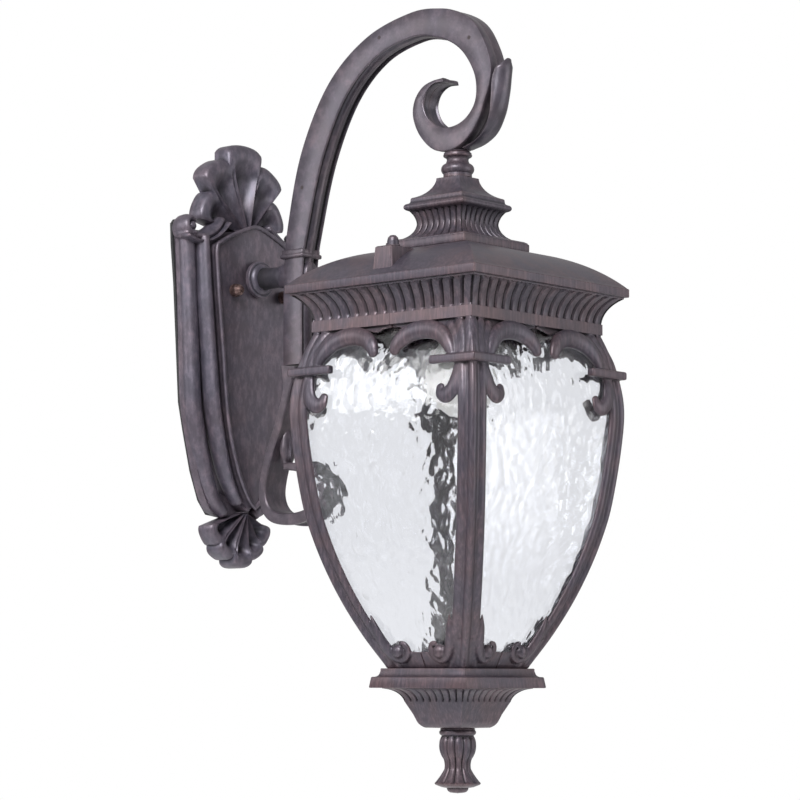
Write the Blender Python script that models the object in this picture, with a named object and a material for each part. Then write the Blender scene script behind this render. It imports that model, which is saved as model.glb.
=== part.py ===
"""Outdoor wall lantern on a scroll arm.

Sizes are in millimetres and become metres when a body is made. The wall is the plane Y = 0, the
lantern hangs on the -Y side, and the origin is the middle of the crossbar's back face. Heights chain
down from the arm's foot: collar, crown, roof, cage, tray, cup and finial.
"""

import math

import bmesh
import bpy
from mathutils import Matrix, Vector

METRES_PER_MM = 0.001
CLEAR = 0.3  # left between pieces that touch
SEAM = 0.15  # each half's distance to a shared seam
BORE_CLEAR = 0.4  # between a shank and its bore, in radius

# Wall to lantern
REACH = 292.0  # wall to the lantern's axis
BAR_REACH = 197.0  # lantern's axis to the middle of the arm's bar
HUB_HEIGHT = 14.0
ARM_HALF = 11.5
ARM_RISE = 95.0  # hub to the arm's foot
CHANNEL_SHARE = 0.45  # channel width to strap width
CHANNEL_FLOOR = 4.0

# Roof side
COLLAR_HEIGHT = 23.4
CROWN_HEIGHT = 68.2
CROWN_HALF = 46.8
ROOF_HALF = 112.0
ROOF_SLOPE = 32.5  # height from the fascia's upper edge to the roof's flat top
FASCIA = 8.0
CORNICE = 26.5
CORNICE_HALF = 93.2
ROOF_WALL = 3.0
BOSS_TOP = 5.5  # below the roof's flat top
BOSS_REACH = 104.5
SCREW_REACH = 90.0  # roof screws from the axis
ROOF_SCREW = 2.0  # shank radius
NIPPLE = 5.0
NIPPLE_BORE = 3.4
NUT_HEIGHT = 3.0

# Lamp
HOLDER_TOP = 20.0  # below the roof's flat top
HOLDER_RADIUS = 18.2
HOLDER_HEIGHT = 42.0
BULB_RADIUS = 30.0
BULB_LENGTH = 90.0
BASE_RADIUS = 13.0

# Cage
CAGE_HEIGHT = 308.7
LEDGE_HALF = 94.0
LEDGE_INNER = 84.7
LEDGE_HEIGHT = 5.0
POST_WIDTH = 20.0
POST_WALL = 3.7
GLASS = 3.0
GLASS_EDGE = 5.0  # glass edge behind the post
SPLICE = 3.5
CLIP = 1.2
CLASP_HALF = 110.0
FOOT_HEIGHT = 11.0  # the foot flange that carries the glass
FOOT_WIDTH = 8.0

# Tray, cup and finial
TRAY_HALF = 56.8
TRAY_HEIGHT = 17.7
TRAY_PLATE = 4.0
TRAY_WALL = 3.8
TRAY_SCREW = 1.5
CUP_HEIGHT = 49.0
CUP_WALL = 3.0
CUP_FOOT = 20.7
STUD = 3.0
FINIAL_HEIGHT = 58.3
FINIAL_BULB = 16.7

# Wall plate
PLATE_DEPTH = 35.3  # gasket to the panel's front
RIM_DEPTH = 17.0
PLATE_WALL = 3.5
GASKET = 2.7
GASKET_WIDTH = 5.0
GASKET_INSET = 1.5  # behind the rim
CROSSBAR = (90.0, 20.0, 2.4)
MOUNT_STUD = 2.0
MOUNT_SPACING = 68.0
NECK = 10.0
NECK_BORE = 6.0
SPIGOT = 8.0
HUB_BALL = 15.5
FLANGE = 18.0
FLANGE_DEPTH = 5.0
SHELL_DEPTH = 19.0
TOP_SHELL = 83.0
BOTTOM_SHELL = 46.0
SCROLL_HALF = 15.0
SCROLL_TOP = 183.3  # below the arm's foot

# Heights that follow
ARM_FOOT = HUB_HEIGHT + ARM_RISE
COLLAR_TOP = ARM_FOOT - CLEAR
CROWN_TOP = COLLAR_TOP - COLLAR_HEIGHT - CLEAR
ROOF_TOP = CROWN_TOP - CROWN_HEIGHT - CLEAR
ROOF_DROP = ROOF_SLOPE + FASCIA + CORNICE
ROOF_FOOT = ROOF_TOP - ROOF_DROP
CAGE_TOP = ROOF_FOOT - SPLICE - 2 * CLEAR
CAGE_FOOT = CAGE_TOP - CAGE_HEIGHT
TRAY_TOP = CAGE_FOOT - CLEAR
CUP_TOP = TRAY_TOP - TRAY_PLATE - CLEAR
FINIAL_TOP = CUP_TOP - CUP_HEIGHT - CLEAR
PANEL_FRONT = -(GASKET + CLEAR + PLATE_DEPTH)

BRONZE = ("bronze", (0.145, 0.115, 0.13), 0.45, 0.7)
DARK_BRONZE = ("dark_bronze", (0.10, 0.08, 0.085), 0.5, 0.7)
NUT_BRASS = ("nut_brass", (0.30, 0.23, 0.17), 0.4, 0.9)
STEEL = ("steel", (0.45, 0.45, 0.46), 0.35, 1.0)
PORCELAIN = ("porcelain", (0.8, 0.8, 0.77), 0.3, 0.0)
BRASS = ("brass", (0.6, 0.45, 0.2), 0.3, 1.0)
WATER_GLASS = ("water_glass", (0.9, 0.95, 0.95), 0.08, 0.0)
FROSTED = ("frosted_glass", (0.95, 0.95, 0.93), 0.4, 0.0)
FOAM = ("foam", (0.03, 0.03, 0.03), 0.9, 0.0)
WIRE = ("wire_sleeve", (0.03, 0.03, 0.03), 0.6, 0.0)


def clear_scene():
    """Removes every object of the scene."""
    for obj in list(bpy.data.objects):
        bpy.data.objects.remove(obj)


def material(finish):
    """Returns the Principled material of a finish, made once."""
    name, colour, roughness, metallic = finish
    found = bpy.data.materials.get(name)
    if found:
        return found
    made = bpy.data.materials.new(name)
    made.use_nodes = True
    shader = made.node_tree.nodes["Principled BSDF"]
    shader.inputs["Base Color"].default_value = (*colour, 1.0)
    shader.inputs["Roughness"].default_value = roughness
    shader.inputs["Metallic"].default_value = metallic
    return made


def body(name, bm, finish, place=(0, 0, 0), turn=(0, 0, 0)):
    """Makes the object of a closed bmesh that is drawn in millimetres."""
    bmesh.ops.remove_doubles(bm, verts=bm.verts, dist=0.001)
    bmesh.ops.recalc_face_normals(bm, faces=bm.faces)
    bmesh.ops.scale(bm, vec=Vector((1, 1, 1)) * METRES_PER_MM, verts=bm.verts)
    mesh = bpy.data.meshes.new(name)
    bm.to_mesh(mesh)
    bm.free()
    mesh.shade_smooth()
    mesh.set_sharp_from_angle(angle=math.radians(35))
    mesh.materials.append(material(finish))
    obj = bpy.data.objects.new(name, mesh)
    obj.location = Vector(place) * METRES_PER_MM
    obj.rotation_euler = turn
    bpy.context.scene.collection.objects.link(obj)
    return obj


def helper(name, bm, place=(0, 0, 0), turn=(0, 0, 0)):
    """Makes a hidden solid that a Boolean uses."""
    obj = body(name, bm, DARK_BRONZE, place, turn)
    obj.hide_render = True
    obj.display_type = "WIRE"
    return obj


def boolean(obj, other, operation="DIFFERENCE"):
    """Adds a Boolean with the other solid."""
    modifier = obj.modifiers.new(other.name, "BOOLEAN")
    modifier.operation = operation
    modifier.solver = "EXACT"
    modifier.object = other


def turned(profile, sides=24, closed=False):
    """Spins (radius, height) points about Z; four sides make a square body of that half width."""
    square = sides == 4
    stretch = math.sqrt(2) if square else 1.0
    spoke = Matrix.Rotation(math.radians(45 if square else 0), 3, "Z")
    bm = bmesh.new()
    verts = [bm.verts.new(spoke @ Vector((r * stretch, 0, z))) for r, z in profile]
    ends = verts[1:] + verts[:1] if closed else verts[1:]
    edges = [bm.edges.new(pair) for pair in zip(verts, ends)]
    bmesh.ops.spin(
        bm, geom=verts + edges, cent=(0, 0, 0), axis=(0, 0, 1),
        angle=math.tau, steps=sides, use_merge=True,
    )
    return bm


def rod(radius, low, high, sides=16):
    """A solid round rod along Z."""
    return turned([(0, high), (radius, high), (radius, low), (0, low)], sides)


def box(size, middle=(0, 0, 0)):
    """A box of the given size about its middle."""
    bm = bmesh.new()
    bmesh.ops.create_cube(bm, size=1.0)
    bmesh.ops.scale(bm, vec=size, verts=bm.verts)
    bmesh.ops.translate(bm, vec=middle, verts=bm.verts)
    return bm


def loft(rings):
    """A closed body through rings of as many points each, capped at both ends."""
    bm = bmesh.new()
    rows = [[bm.verts.new(point) for point in ring] for ring in rings]
    for low, high in zip(rows, rows[1:]):
        for i in range(len(low)):
            j = (i + 1) % len(low)
            bm.faces.new((low[i], low[j], high[j], high[i]))
    bm.faces.new(rows[0])
    bm.faces.new(rows[-1])
    return bm


def in_plane(plane, u, v, w):
    """A point (u, v) of a drawing plane, at w along its normal."""
    return (w, u, v) if plane == "YZ" else (u, w, v)


def slab(first, second, low, high, plane, closed=False):
    """Extrudes the strip between two edge lines of as many points each."""
    bm = bmesh.new()
    rows = [[bm.verts.new(in_plane(plane, *point, low)) for point in line] for line in (first, second)]
    count = len(first)
    faces = []
    for i in range(count if closed else count - 1):
        j = (i + 1) % count
        faces.append(bm.faces.new((rows[0][i], rows[0][j], rows[1][j], rows[1][i])))
    grown = bmesh.ops.extrude_face_region(bm, geom=faces)["geom"]
    verts = [item for item in grown if isinstance(item, bmesh.types.BMVert)]
    bmesh.ops.translate(bm, vec=in_plane(plane, 0, 0, high - low), verts=verts)
    return bm


def smooth_path(points, steps=4):
    """Catmull-Rom points through the given ones, with every coordinate carried along."""
    knots = [Vector(point) for point in points]
    knots = [knots[0] * 2 - knots[1], *knots, knots[-1] * 2 - knots[-2]]
    path = []
    for a, b, c, d in zip(knots, knots[1:], knots[2:], knots[3:]):
        for step in range(steps):
            t = step / steps
            path.append(0.5 * (2 * b + (c - a) * t + (2 * a - 5 * b + 4 * c - d) * t**2
                               + (3 * b - a - 3 * c + d) * t**3))
    path.append(knots[-2])
    return path


def beside(path, offset):
    """The line beside a path of (u, v, half width), at offset(half width) to its left."""
    line = []
    for i, point in enumerate(path):
        before = path[max(i - 1, 0)]
        after = path[min(i + 1, len(path) - 1)]
        along = (after - before).xy.normalized()
        line.append(point.xy + Vector((-along.y, along.x)) * offset(point.z))
    return line


def ribbon(path, low, high, shrink=0.0):
    """A strap along a path of (u, v, half width) in the YZ plane."""
    left = beside(path, lambda half: half - shrink)
    right = beside(path, lambda half: shrink - half)
    return slab(left, right, low, high, "YZ")


def mirrored(outline):
    """Closes a right-hand outline, from top middle to bottom middle, with its left half."""
    return [Vector(p) for p in outline] + [Vector((-x, z)) for x, z in reversed(outline[1:-1])]


def inset(outline, distance):
    """Moves a closed outline, drawn clockwise, inwards."""
    moved = []
    for i, point in enumerate(outline):
        before = (point - outline[i - 1]).normalized()
        after = (outline[(i + 1) % len(outline)] - point).normalized()
        normal = Vector((before.y + after.y, -before.x - after.x)).normalized()
        lean = max(0.5, normal.dot(Vector((before.y, -before.x))))
        moved.append(point + normal * (distance / lean))
    return moved


def across_wall(point, y):
    """A point of a wall-plate outline at depth y."""
    return (point.x, y, point.y)


# ---------------------------------------------------------------- roof side


def on_axis(height):
    """A place on the lantern's axis."""
    return (0, -REACH, height)


def build_collar():
    """The turned collar under the arm's foot."""
    bore = NIPPLE + BORE_CLEAR
    low = -COLLAR_HEIGHT
    profile = [
        (bore, 0), (9.5, 0), (12.9, -3), (12.4, -5.5), (10.3, -8), (10.3, -12),
        (14.2, -14), (15.5, -17), (14.2, -20), (12.5, low), (bore, low),
    ]
    body("arm_collar", turned(profile, 24, closed=True), BRONZE, on_axis(COLLAR_TOP))


def build_crown():
    """The square crown: a concave pyramid on a bead, over a cavetto and a base slab."""
    bore = NIPPLE + BORE_CLEAR
    low = -CROWN_HEIGHT
    slab_top = low + 7.2
    profile = [
        (bore, 0), (14, 0), (18, -9), (25, -17), (31, -21), (31, -25), (35.2, -27), (35.2, -32),
        (29, -37), (27.2, -42), (29, -50), (36, -57), (CROWN_HALF - 3, slab_top),
        (CROWN_HALF, slab_top), (CROWN_HALF, low), (bore, low),
    ]
    body("crown", turned(profile, 4, closed=True), BRONZE, on_axis(CROWN_TOP))


def build_roof():
    """The hollow hip roof, its fascia and cornice, with a screw boss on two faces."""
    bore = NIPPLE + BORE_CLEAR
    eave = ROOF_DROP - CORNICE - FASCIA
    inner = CORNICE_HALF - 7.2
    profile = [
        (bore, 0), (47, 0), (60, -2.8), (72, -6.7), (84, -12), (95, -18.6), (104, -25.6),
        (ROOF_HALF, -eave), (ROOF_HALF, -eave - FASCIA),
        (108.5, -eave - FASCIA - 2), (101, -eave - FASCIA - 11), (96.5, -ROOF_DROP + 7),
        (CORNICE_HALF, -ROOF_DROP), (inner, -ROOF_DROP), (inner, -20), (70, -6.5 - ROOF_WALL - 1),
        (46, -ROOF_WALL), (bore, -ROOF_WALL),
    ]
    roof = body("roof", turned(profile, 4, closed=True), BRONZE, on_axis(ROOF_TOP))
    for side, name in ((-1, "left"), (1, "right")):
        length = BOSS_REACH - 78
        block = box((length, 20, 28), (side * (BOSS_REACH - length / 2), 0, -BOSS_TOP - 14))
        boolean(roof, helper("boss_" + name, block, on_axis(ROOF_TOP)), "UNION")
    for side, name in ((-1, "left"), (1, "right")):
        drill = rod(ROOF_SCREW + BORE_CLEAR, -ROOF_DROP - 5, 5)
        place = (side * SCREW_REACH, -REACH, ROOF_TOP)
        boolean(roof, helper("roof_drill_" + name, drill, place))


def build_roof_screws():
    """The two captive screws with cap heads; each turns about its own vertical axis."""
    shank_foot = -(ROOF_DROP - BOSS_TOP) - 2 * CLEAR - SPLICE - LEDGE_HEIGHT
    profile = [
        (0, 10.5), (2.6, 9.9), (4.5, 8), (5.3, 5), (5.3, 1.5), (6.4, 1.5), (6.4, CLEAR),
        (ROOF_SCREW, CLEAR), (ROOF_SCREW, shank_foot), (0, shank_foot),
    ]
    for side, name in ((-1, "left"), (1, "right")):
        place = (side * SCREW_REACH, -REACH, ROOF_TOP - BOSS_TOP)
        body("roof_screw_" + name, turned(profile, 16), NUT_BRASS, place)


def build_nipple():
    """The threaded nipple from the lampholder up into the arm, and its nut under the roof."""
    low = ROOF_TOP - ROOF_WALL - 11
    high = ARM_FOOT + 8
    profile = [(NIPPLE_BORE, high), (NIPPLE, high), (NIPPLE, low), (NIPPLE_BORE, low)]
    body("nipple", turned(profile, 16, closed=True), STEEL, on_axis(0))
    hex_bore = (NIPPLE + BORE_CLEAR) / math.cos(math.pi / 6)
    nut_top = ROOF_TOP - ROOF_WALL - CLEAR
    nut = [(hex_bore, 0), (10, 0), (10, -NUT_HEIGHT), (hex_bore, -NUT_HEIGHT)]
    body("nipple_locknut", turned(nut, 6, closed=True), STEEL, on_axis(nut_top))


def build_lamp():
    """Socket cap, porcelain lampholder, its screw shell, and the bulb's base and globe."""
    cap_bore = NIPPLE + BORE_CLEAR
    cap_radius = HOLDER_RADIUS + CLEAR + 1.4
    top = HOLDER_TOP - 9.5
    cap = [
        (cap_bore, -top), (13, -top), (cap_radius, -top - 6), (cap_radius, -HOLDER_TOP - 12),
        (cap_radius - 1.4, -HOLDER_TOP - 12), (cap_radius - 1.4, -top - 7), (12.4, -top - 1.5),
        (cap_bore, -top - 1.5),
    ]
    body("socket_cap", turned(cap, 24, closed=True), BRASS, on_axis(ROOF_TOP))
    shell = BASE_RADIUS + BORE_CLEAR
    rim = HOLDER_TOP + HOLDER_HEIGHT
    well = shell + 0.9 + CLEAR
    holder = [
        (0, -HOLDER_TOP), (HOLDER_RADIUS, -HOLDER_TOP), (HOLDER_RADIUS, -rim), (well, -rim),
        (well, -HOLDER_TOP - 11), (0, -HOLDER_TOP - 11),
    ]
    body("lampholder", turned(holder, 24), PORCELAIN, on_axis(ROOF_TOP))
    shell_top = -HOLDER_TOP - 11 - CLEAR
    liner = [(shell, shell_top), (shell + 0.9, shell_top), (shell + 0.9, -rim + 3), (shell, -rim + 3)]
    body("lampholder_shell", turned(liner, 24, closed=True), BRASS, on_axis(ROOF_TOP))
    base_top = shell_top - 1.5
    base = [(0, base_top), (4, base_top), (BASE_RADIUS, base_top - 4), (BASE_RADIUS, -rim), (0, -rim)]
    body("bulb_base", turned(base, 24), BRASS, on_axis(ROOF_TOP))
    widest = -rim - BULB_LENGTH + BULB_RADIUS
    globe = [(0, -rim - CLEAR), (12.5, -rim - CLEAR), (14, -rim - 16), (22, widest + 20)]
    globe += [
        (BULB_RADIUS * math.cos(angle), widest - BULB_RADIUS * math.sin(angle))
        for angle in [math.radians(step) for step in (-18, 0, 20, 40, 60, 78)]
    ]
    globe.append((0, widest - BULB_RADIUS))
    body("bulb_globe", turned(globe, 24), FROSTED, on_axis(ROOF_TOP))


# ---------------------------------------------------------------- cage


POST_PROFILE = [
    (0.0, 89.5), (0.06, 97.9), (0.117, 103.5), (0.227, 108.5), (0.35, 106.7), (0.515, 100.5),
    (0.61, 94.5), (0.71, 85.7), (0.81, 74.5), (0.907, 61.0), (1.0, 45.5),
]


def post_half(depth):
    """The post's outer half width at a depth below the cage's top."""
    curve = smooth_path([(share, half, 0) for share, half in POST_PROFILE], 6)
    share = min(max(depth / CAGE_HEIGHT, 0.0), 1.0)
    for near, far in zip(curve, curve[1:]):
        if share <= far.x:
            blend = (share - near.x) / (far.x - near.x)
            return near.y + (far.y - near.y) * blend
    return curve[-1].y


def corner_ring(depth, outer, inner, end):
    """The L-shaped section of a corner casting, for the (+X, +Y) corner."""
    return [
        (outer, outer, -depth), (end, outer, -depth), (end, inner, -depth),
        (inner, inner, -depth), (inner, end, -depth), (outer, end, -depth),
    ]


def corner_rings():
    """Ledge, fan, clasp, lower curl, post, apron and foot, from the top down."""
    rings = [
        corner_ring(0, LEDGE_HALF, LEDGE_INNER, SEAM),
        corner_ring(LEDGE_HEIGHT, LEDGE_HALF, LEDGE_INNER, SEAM),
    ]

    def post(depth, reach, raised=0.0):
        half = post_half(depth)
        rings.append(corner_ring(depth, half + raised, half - POST_WALL, half - reach))

    start = post_half(LEDGE_HEIGHT + 1)
    rings.append(corner_ring(LEDGE_HEIGHT + 1, start, start - POST_WALL, 6))
    post(18, 84)
    post(27, 58)
    post(36, 44)
    clasp = CLASP_HALF - post_half(42)
    post(38, 45, clasp)
    post(46, 45, clasp)
    post(48, 32)
    post(78, 28)
    post(84, POST_WIDTH)
    foot = CAGE_HEIGHT - FOOT_HEIGHT
    apron = foot - 4
    for step in range(1, 11):
        post(84 + (apron - 10 - 84) * step / 10, POST_WIDTH)
    post(apron - 7, POST_WIDTH + 6)
    for depth, inward in ((apron, 0.0), (foot, 0.0), (foot + 0.8, FOOT_WIDTH), (CAGE_HEIGHT, FOOT_WIDTH)):
        half = post_half(depth)
        rings.append(corner_ring(depth, half, half - POST_WALL - inward, SEAM))
    return rings


CORNERS = (("front_left", 180), ("front_right", 270), ("back_right", 0), ("back_left", 90))
SIDES = (("back", 0), ("left", 90), ("front", 180), ("right", 270))


def quarter(degrees):
    """The turn about Z that carries a piece to its corner or side."""
    return (0, 0, math.radians(degrees))


def foot_screw_reach():
    """Distance of the tray screws from the axis, along X and along Y."""
    return post_half(CAGE_HEIGHT) - POST_WALL - FOOT_WIDTH / 2 + 1


def build_corners():
    """The four corner castings, notched for the roof screws and drilled for the tray screws."""
    reach = foot_screw_reach()
    notches = [
        helper("ledge_drill_" + name, rod(ROOF_SCREW + BORE_CLEAR, -LEDGE_HEIGHT - 9, 9),
               (side * SCREW_REACH, -REACH, CAGE_TOP))
        for side, name in ((-1, "left"), (1, "right"))
    ]
    for name, degrees in CORNERS:
        corner = body("corner_" + name, loft(corner_rings()), BRONZE, on_axis(CAGE_TOP), quarter(degrees))
        boolean(corner, notches[0 if "left" in name else 1])
        x = -reach if "left" in name else reach
        y = -reach if "front" in name else reach
        drill = rod(TRAY_SCREW + BORE_CLEAR, -6, 8, 12)
        boolean(corner, helper("foot_drill_" + name, drill, (x, y - REACH, CAGE_FOOT)))


def build_glass():
    """Four bent panes that follow the posts and rest on the foot flange."""
    top = LEDGE_HEIGHT + 1.6
    foot = CAGE_HEIGHT - FOOT_HEIGHT - CLEAR
    for name, degrees in SIDES:
        rings = []
        for step in range(13):
            depth = top + (foot - top) * step / 12
            outer = post_half(depth) - POST_WALL - CLEAR - 0.3
            half = outer - GLASS_EDGE
            rings.append([
                (half, outer, -depth), (-half, outer, -depth),
                (-half, outer - GLASS, -depth), (half, outer - GLASS, -depth),
            ])
        body("glass_" + name, loft(rings), WATER_GLASS, on_axis(CAGE_TOP), quarter(degrees))


def build_splices():
    """Plates across the ledge's seams, drilled for the roof screws, and the clips behind the glass."""
    for name, degrees in SIDES:
        depth = CORNICE_HALF - LEDGE_INNER
        plate = box((30, depth, SPLICE), (0, LEDGE_INNER + depth / 2, CLEAR + SPLICE / 2))
        splice = body("splice_" + name, plate, DARK_BRONZE, on_axis(CAGE_TOP), quarter(degrees))
        if name in ("left", "right"):
            side = -1 if name == "left" else 1
            drill = rod(ROOF_SCREW + BORE_CLEAR, -3, 12)
            boolean(splice, helper("splice_drill_" + name, drill, (side * SCREW_REACH, -REACH, CAGE_TOP)))
        face = LEDGE_INNER - CLEAR
        clip = box((12, CLIP, 13), (0, face - CLIP / 2, -8))
        body("glass_clip_" + name, clip, STEEL, on_axis(CAGE_TOP), quarter(degrees))


def build_tray():
    """The tray under the cage, its four screws, and the bottom stud with its nut."""
    top_half = post_half(CAGE_HEIGHT) + 3.5
    bore = STUD + BORE_CLEAR
    inner = TRAY_HALF - TRAY_WALL
    profile = [
        (bore, 0), (top_half, 0), (top_half + 1.5, -4), (TRAY_HALF, -8), (TRAY_HALF, -TRAY_HEIGHT),
        (inner, -TRAY_HEIGHT), (inner, -10.5), (top_half - 2.5, -TRAY_PLATE), (bore, -TRAY_PLATE),
    ]
    tray = body("tray", turned(profile, 4, closed=True), BRONZE, on_axis(TRAY_TOP))
    reach = foot_screw_reach()
    head = -TRAY_PLATE - CLEAR
    screw = [
        (0, 6), (TRAY_SCREW, 6), (TRAY_SCREW, head), (2.6, head), (2.6, head - 1.6), (0, head - 1.6),
    ]
    for name, _ in CORNERS:
        x = -reach if "left" in name else reach
        y = -reach if "front" in name else reach
        place = (x, y - REACH, TRAY_TOP)
        drill = rod(TRAY_SCREW + BORE_CLEAR, -9, 5, 12)
        boolean(tray, helper("tray_drill_" + name, drill, place))
        body("tray_screw_" + name, turned(screw, 12), STEEL, place)
    body("bottom_stud", rod(STUD, FINIAL_TOP - 12, TRAY_TOP + 7), STEEL, on_axis(0))
    hex_bore = (STUD + BORE_CLEAR) / math.cos(math.pi / 6)
    nut = [(hex_bore, 4), (7, 4), (7, CLEAR), (hex_bore, CLEAR)]
    body("bottom_nut", turned(nut, 6, closed=True), STEEL, on_axis(TRAY_TOP))


def build_cup():
    """The hollow square bell under the tray."""
    rim = TRAY_HALF - TRAY_WALL - 4.5
    low = -CUP_HEIGHT
    bore = STUD + BORE_CLEAR
    outer = [(rim - 3.5, 0), (rim, -5), (rim, -13.5), (42, -16), (36.5, -22), (32.5, -28), (29.5, -34)]
    outer += [(27, low + 8.5), (24.5, low + 4)]
    inner = [(half - CUP_WALL, z + 1.5 if z < 0 else z) for half, z in outer]
    foot = [(CUP_FOOT, low), (bore, low), (bore, low + CUP_WALL), (CUP_FOOT - CUP_WALL, low + CUP_WALL)]
    profile = [*outer, *foot, *reversed(inner)]
    body("cup", turned(profile, 4, closed=True), BRONZE, on_axis(CUP_TOP))


def build_finial():
    """The turned finial that screws onto the bottom stud."""
    low = -FINIAL_HEIGHT
    bore = STUD + BORE_CLEAR
    profile = [
        (0, -15), (bore, -15), (bore, 0), (15, 0), (16.6, -1.5), (16.6, -5), (14.6, -6.6),
        (16, -10), (FINIAL_BULB, -14), (15.4, -21.5), (12.8, -27.5), (11.7, -34), (13.5, -39),
        (18.2, -44.5), (20.9, -49), (17, -52), (10, -53.8), (6.5, -56.8), (0, low),
    ]
    body("finial", turned(profile, 24), BRONZE, on_axis(FINIAL_TOP))


# ---------------------------------------------------------------- arm


# From the bar's foot, over the top and round the scroll: distance from the lantern's axis towards
# the wall, height above the arm's foot, and half width.
ARM_PATH = [
    (197, -183, 12.2), (197, -95, 12.2), (190, -45, 13.6), (172.5, 19, 14.6), (141, 76, 13.6),
    (98, 111, 12), (48, 125.5, 12), (-2, 117.5, 12.5), (-34, 80, 11.5), (-38, 40, 11.5),
    (-2, 12.6, 11.5), (27.5, 20.5, 9.8), (40, 45, 6), (28, 66, 3.2), (12, 69.5, 2),
]
ARM_STEPS = 4
HUB_KNOT = 1
LEAF_KNOTS = (8, 9)
FOOT_KNOT = 10
LOWER_PATH = [
    (199, -184.6, 9.5), (201.5, -207, 5), (211, -237, 4.5), (226, -273, 4.5), (233, -306, 4.5),
    (222, -327, 5), (195, -332, 5), (170, -326, 5), (158, -309, 4.5), (162, -295, 4), (176, -285, 4),
    (192, -281.5, 4), (204, -281, 3.5),
]


def reach_to_wall(path):
    """Stretches a path in Y so that the bar stays at its distance from the wall."""
    stretch = BAR_REACH / 197
    return [(-REACH + y * stretch, ARM_FOOT + z, half) for y, z, half in path]


def arm_samples():
    """The arm's centre line with its half widths."""
    return smooth_path(reach_to_wall(ARM_PATH), ARM_STEPS)


def bar_y():
    """Y of the middle of the bar."""
    return -REACH + BAR_REACH


def ball(radius, name):
    """A hidden ball at the hub."""
    bm = bmesh.new()
    bmesh.ops.create_uvsphere(bm, u_segments=20, v_segments=12, radius=radius)
    return helper(name, bm, (0, bar_y(), HUB_HEIGHT))


ARM_SCREWS = (("back", 2.5), ("top", 5.25), ("front", 7.5))  # how many knots along the arm
RISE_BORE = 5.4  # from the hub up into the channel
SCREW_ASIDE = 2.6  # the screws and the lead pass each other on either side of the centre line
LEAD_ASIDE = 1.8


def arm_screw_places():
    """(name, y, z) of the screws that join the arm's halves."""
    line = beside(arm_samples(), lambda half: -SCREW_ASIDE)
    return [(name, *line[round(knot * ARM_STEPS)]) for name, knot in ARM_SCREWS]


def channelled_strap(path, side):
    """Half a strap along the path, open along the seam with a wire channel."""
    inner, floor, outer = (side * x for x in (SEAM, ARM_HALF - CHANNEL_FLOOR, ARM_HALF))
    offsets = (-1.0, -CHANNEL_SHARE, -CHANNEL_SHARE, CHANNEL_SHARE, CHANNEL_SHARE, 1.0, 1.0, -1.0)
    depths = (inner, inner, floor, floor, inner, inner, outer, outer)
    lines = [beside(path, lambda half, share=share: half * share) for share in offsets]
    rings = [
        [(x, line[i].x, line[i].y) for x, line in zip(depths, lines)]
        for i in range(len(path))
    ]
    return loft(rings)


def build_arm_half(name, side):
    """One half of the arm: channelled strap, half of the hub ball, and bores."""
    half = body("arm_half_" + name, channelled_strap(arm_samples(), side), BRONZE)
    hub = (0, bar_y(), HUB_HEIGHT)
    proud = ARM_HALF - 0.2 - SEAM
    dome = [(0, SEAM)]
    dome += [
        (HUB_BALL * math.cos(angle), proud * math.sin(angle) + SEAM)
        for angle in [math.radians(15 * step) for step in range(6)]
    ]
    dome.append((0, proud + SEAM))
    turn = (0, math.radians(90 * side), 0)
    boolean(half, helper("hub_dome_" + name, turned(dome, 20), hub, turn), "UNION")
    rear = rod(NECK_BORE, -4, HUB_BALL + 9)
    boolean(half, helper("rear_bore_" + name, rear, hub, (-math.pi / 2, 0, 0)))
    rise = rod(RISE_BORE, -1, HUB_BALL + 6)
    boolean(half, helper("rise_bore_" + name, rise, hub))
    foot = rod(NIPPLE + BORE_CLEAR, -9, 16)
    boolean(half, helper("foot_bore_" + name, foot, on_axis(ARM_FOOT)))
    stud = rod(MOUNT_STUD + BORE_CLEAR, -9, 16, 12)
    boolean(half, helper("bar_bore_" + name, stud, (0, bar_y(), ARM_FOOT - SCROLL_TOP)))
    for place, y, z in arm_screw_places():
        drill = rod(TRAY_SCREW + BORE_CLEAR, -ARM_HALF - 5, ARM_HALF + 5, 12)
        boolean(half, helper(f"arm_drill_{place}_{name}", drill, (0, y, z), (0, math.pi / 2, 0)))


def build_arm():
    """Both halves, the sunk pins between them, the leaf on the scroll and the lead inside."""
    build_arm_half("left", -1)
    build_arm_half("right", 1)
    sunk = ARM_HALF - 1.2
    for name, y, z in arm_screw_places():
        pin = rod(TRAY_SCREW, -sunk, sunk, 12)
        body("arm_screw_" + name, pin, DARK_BRONZE, (0, y, z), (0, math.pi / 2, 0))
    samples = arm_samples()
    first, last = (knot * ARM_STEPS for knot in LEAF_KNOTS)
    scroll = samples[first - 1 : last + 3]
    near = beside(scroll, lambda half: -half - CLEAR)
    span = len(scroll) - 1
    far = []
    for i, (edge, middle) in enumerate(zip(near, scroll)):
        thick = 1.5 + 6.5 * math.sin(math.pi * min(1.0, (i + 1.0) / (span + 1.0)))
        far.append(edge + (edge - middle.xy).normalized() * thick)
    body("arm_leaf", slab(near, far, -ARM_HALF, ARM_HALF, "YZ"), BRONZE)


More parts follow.
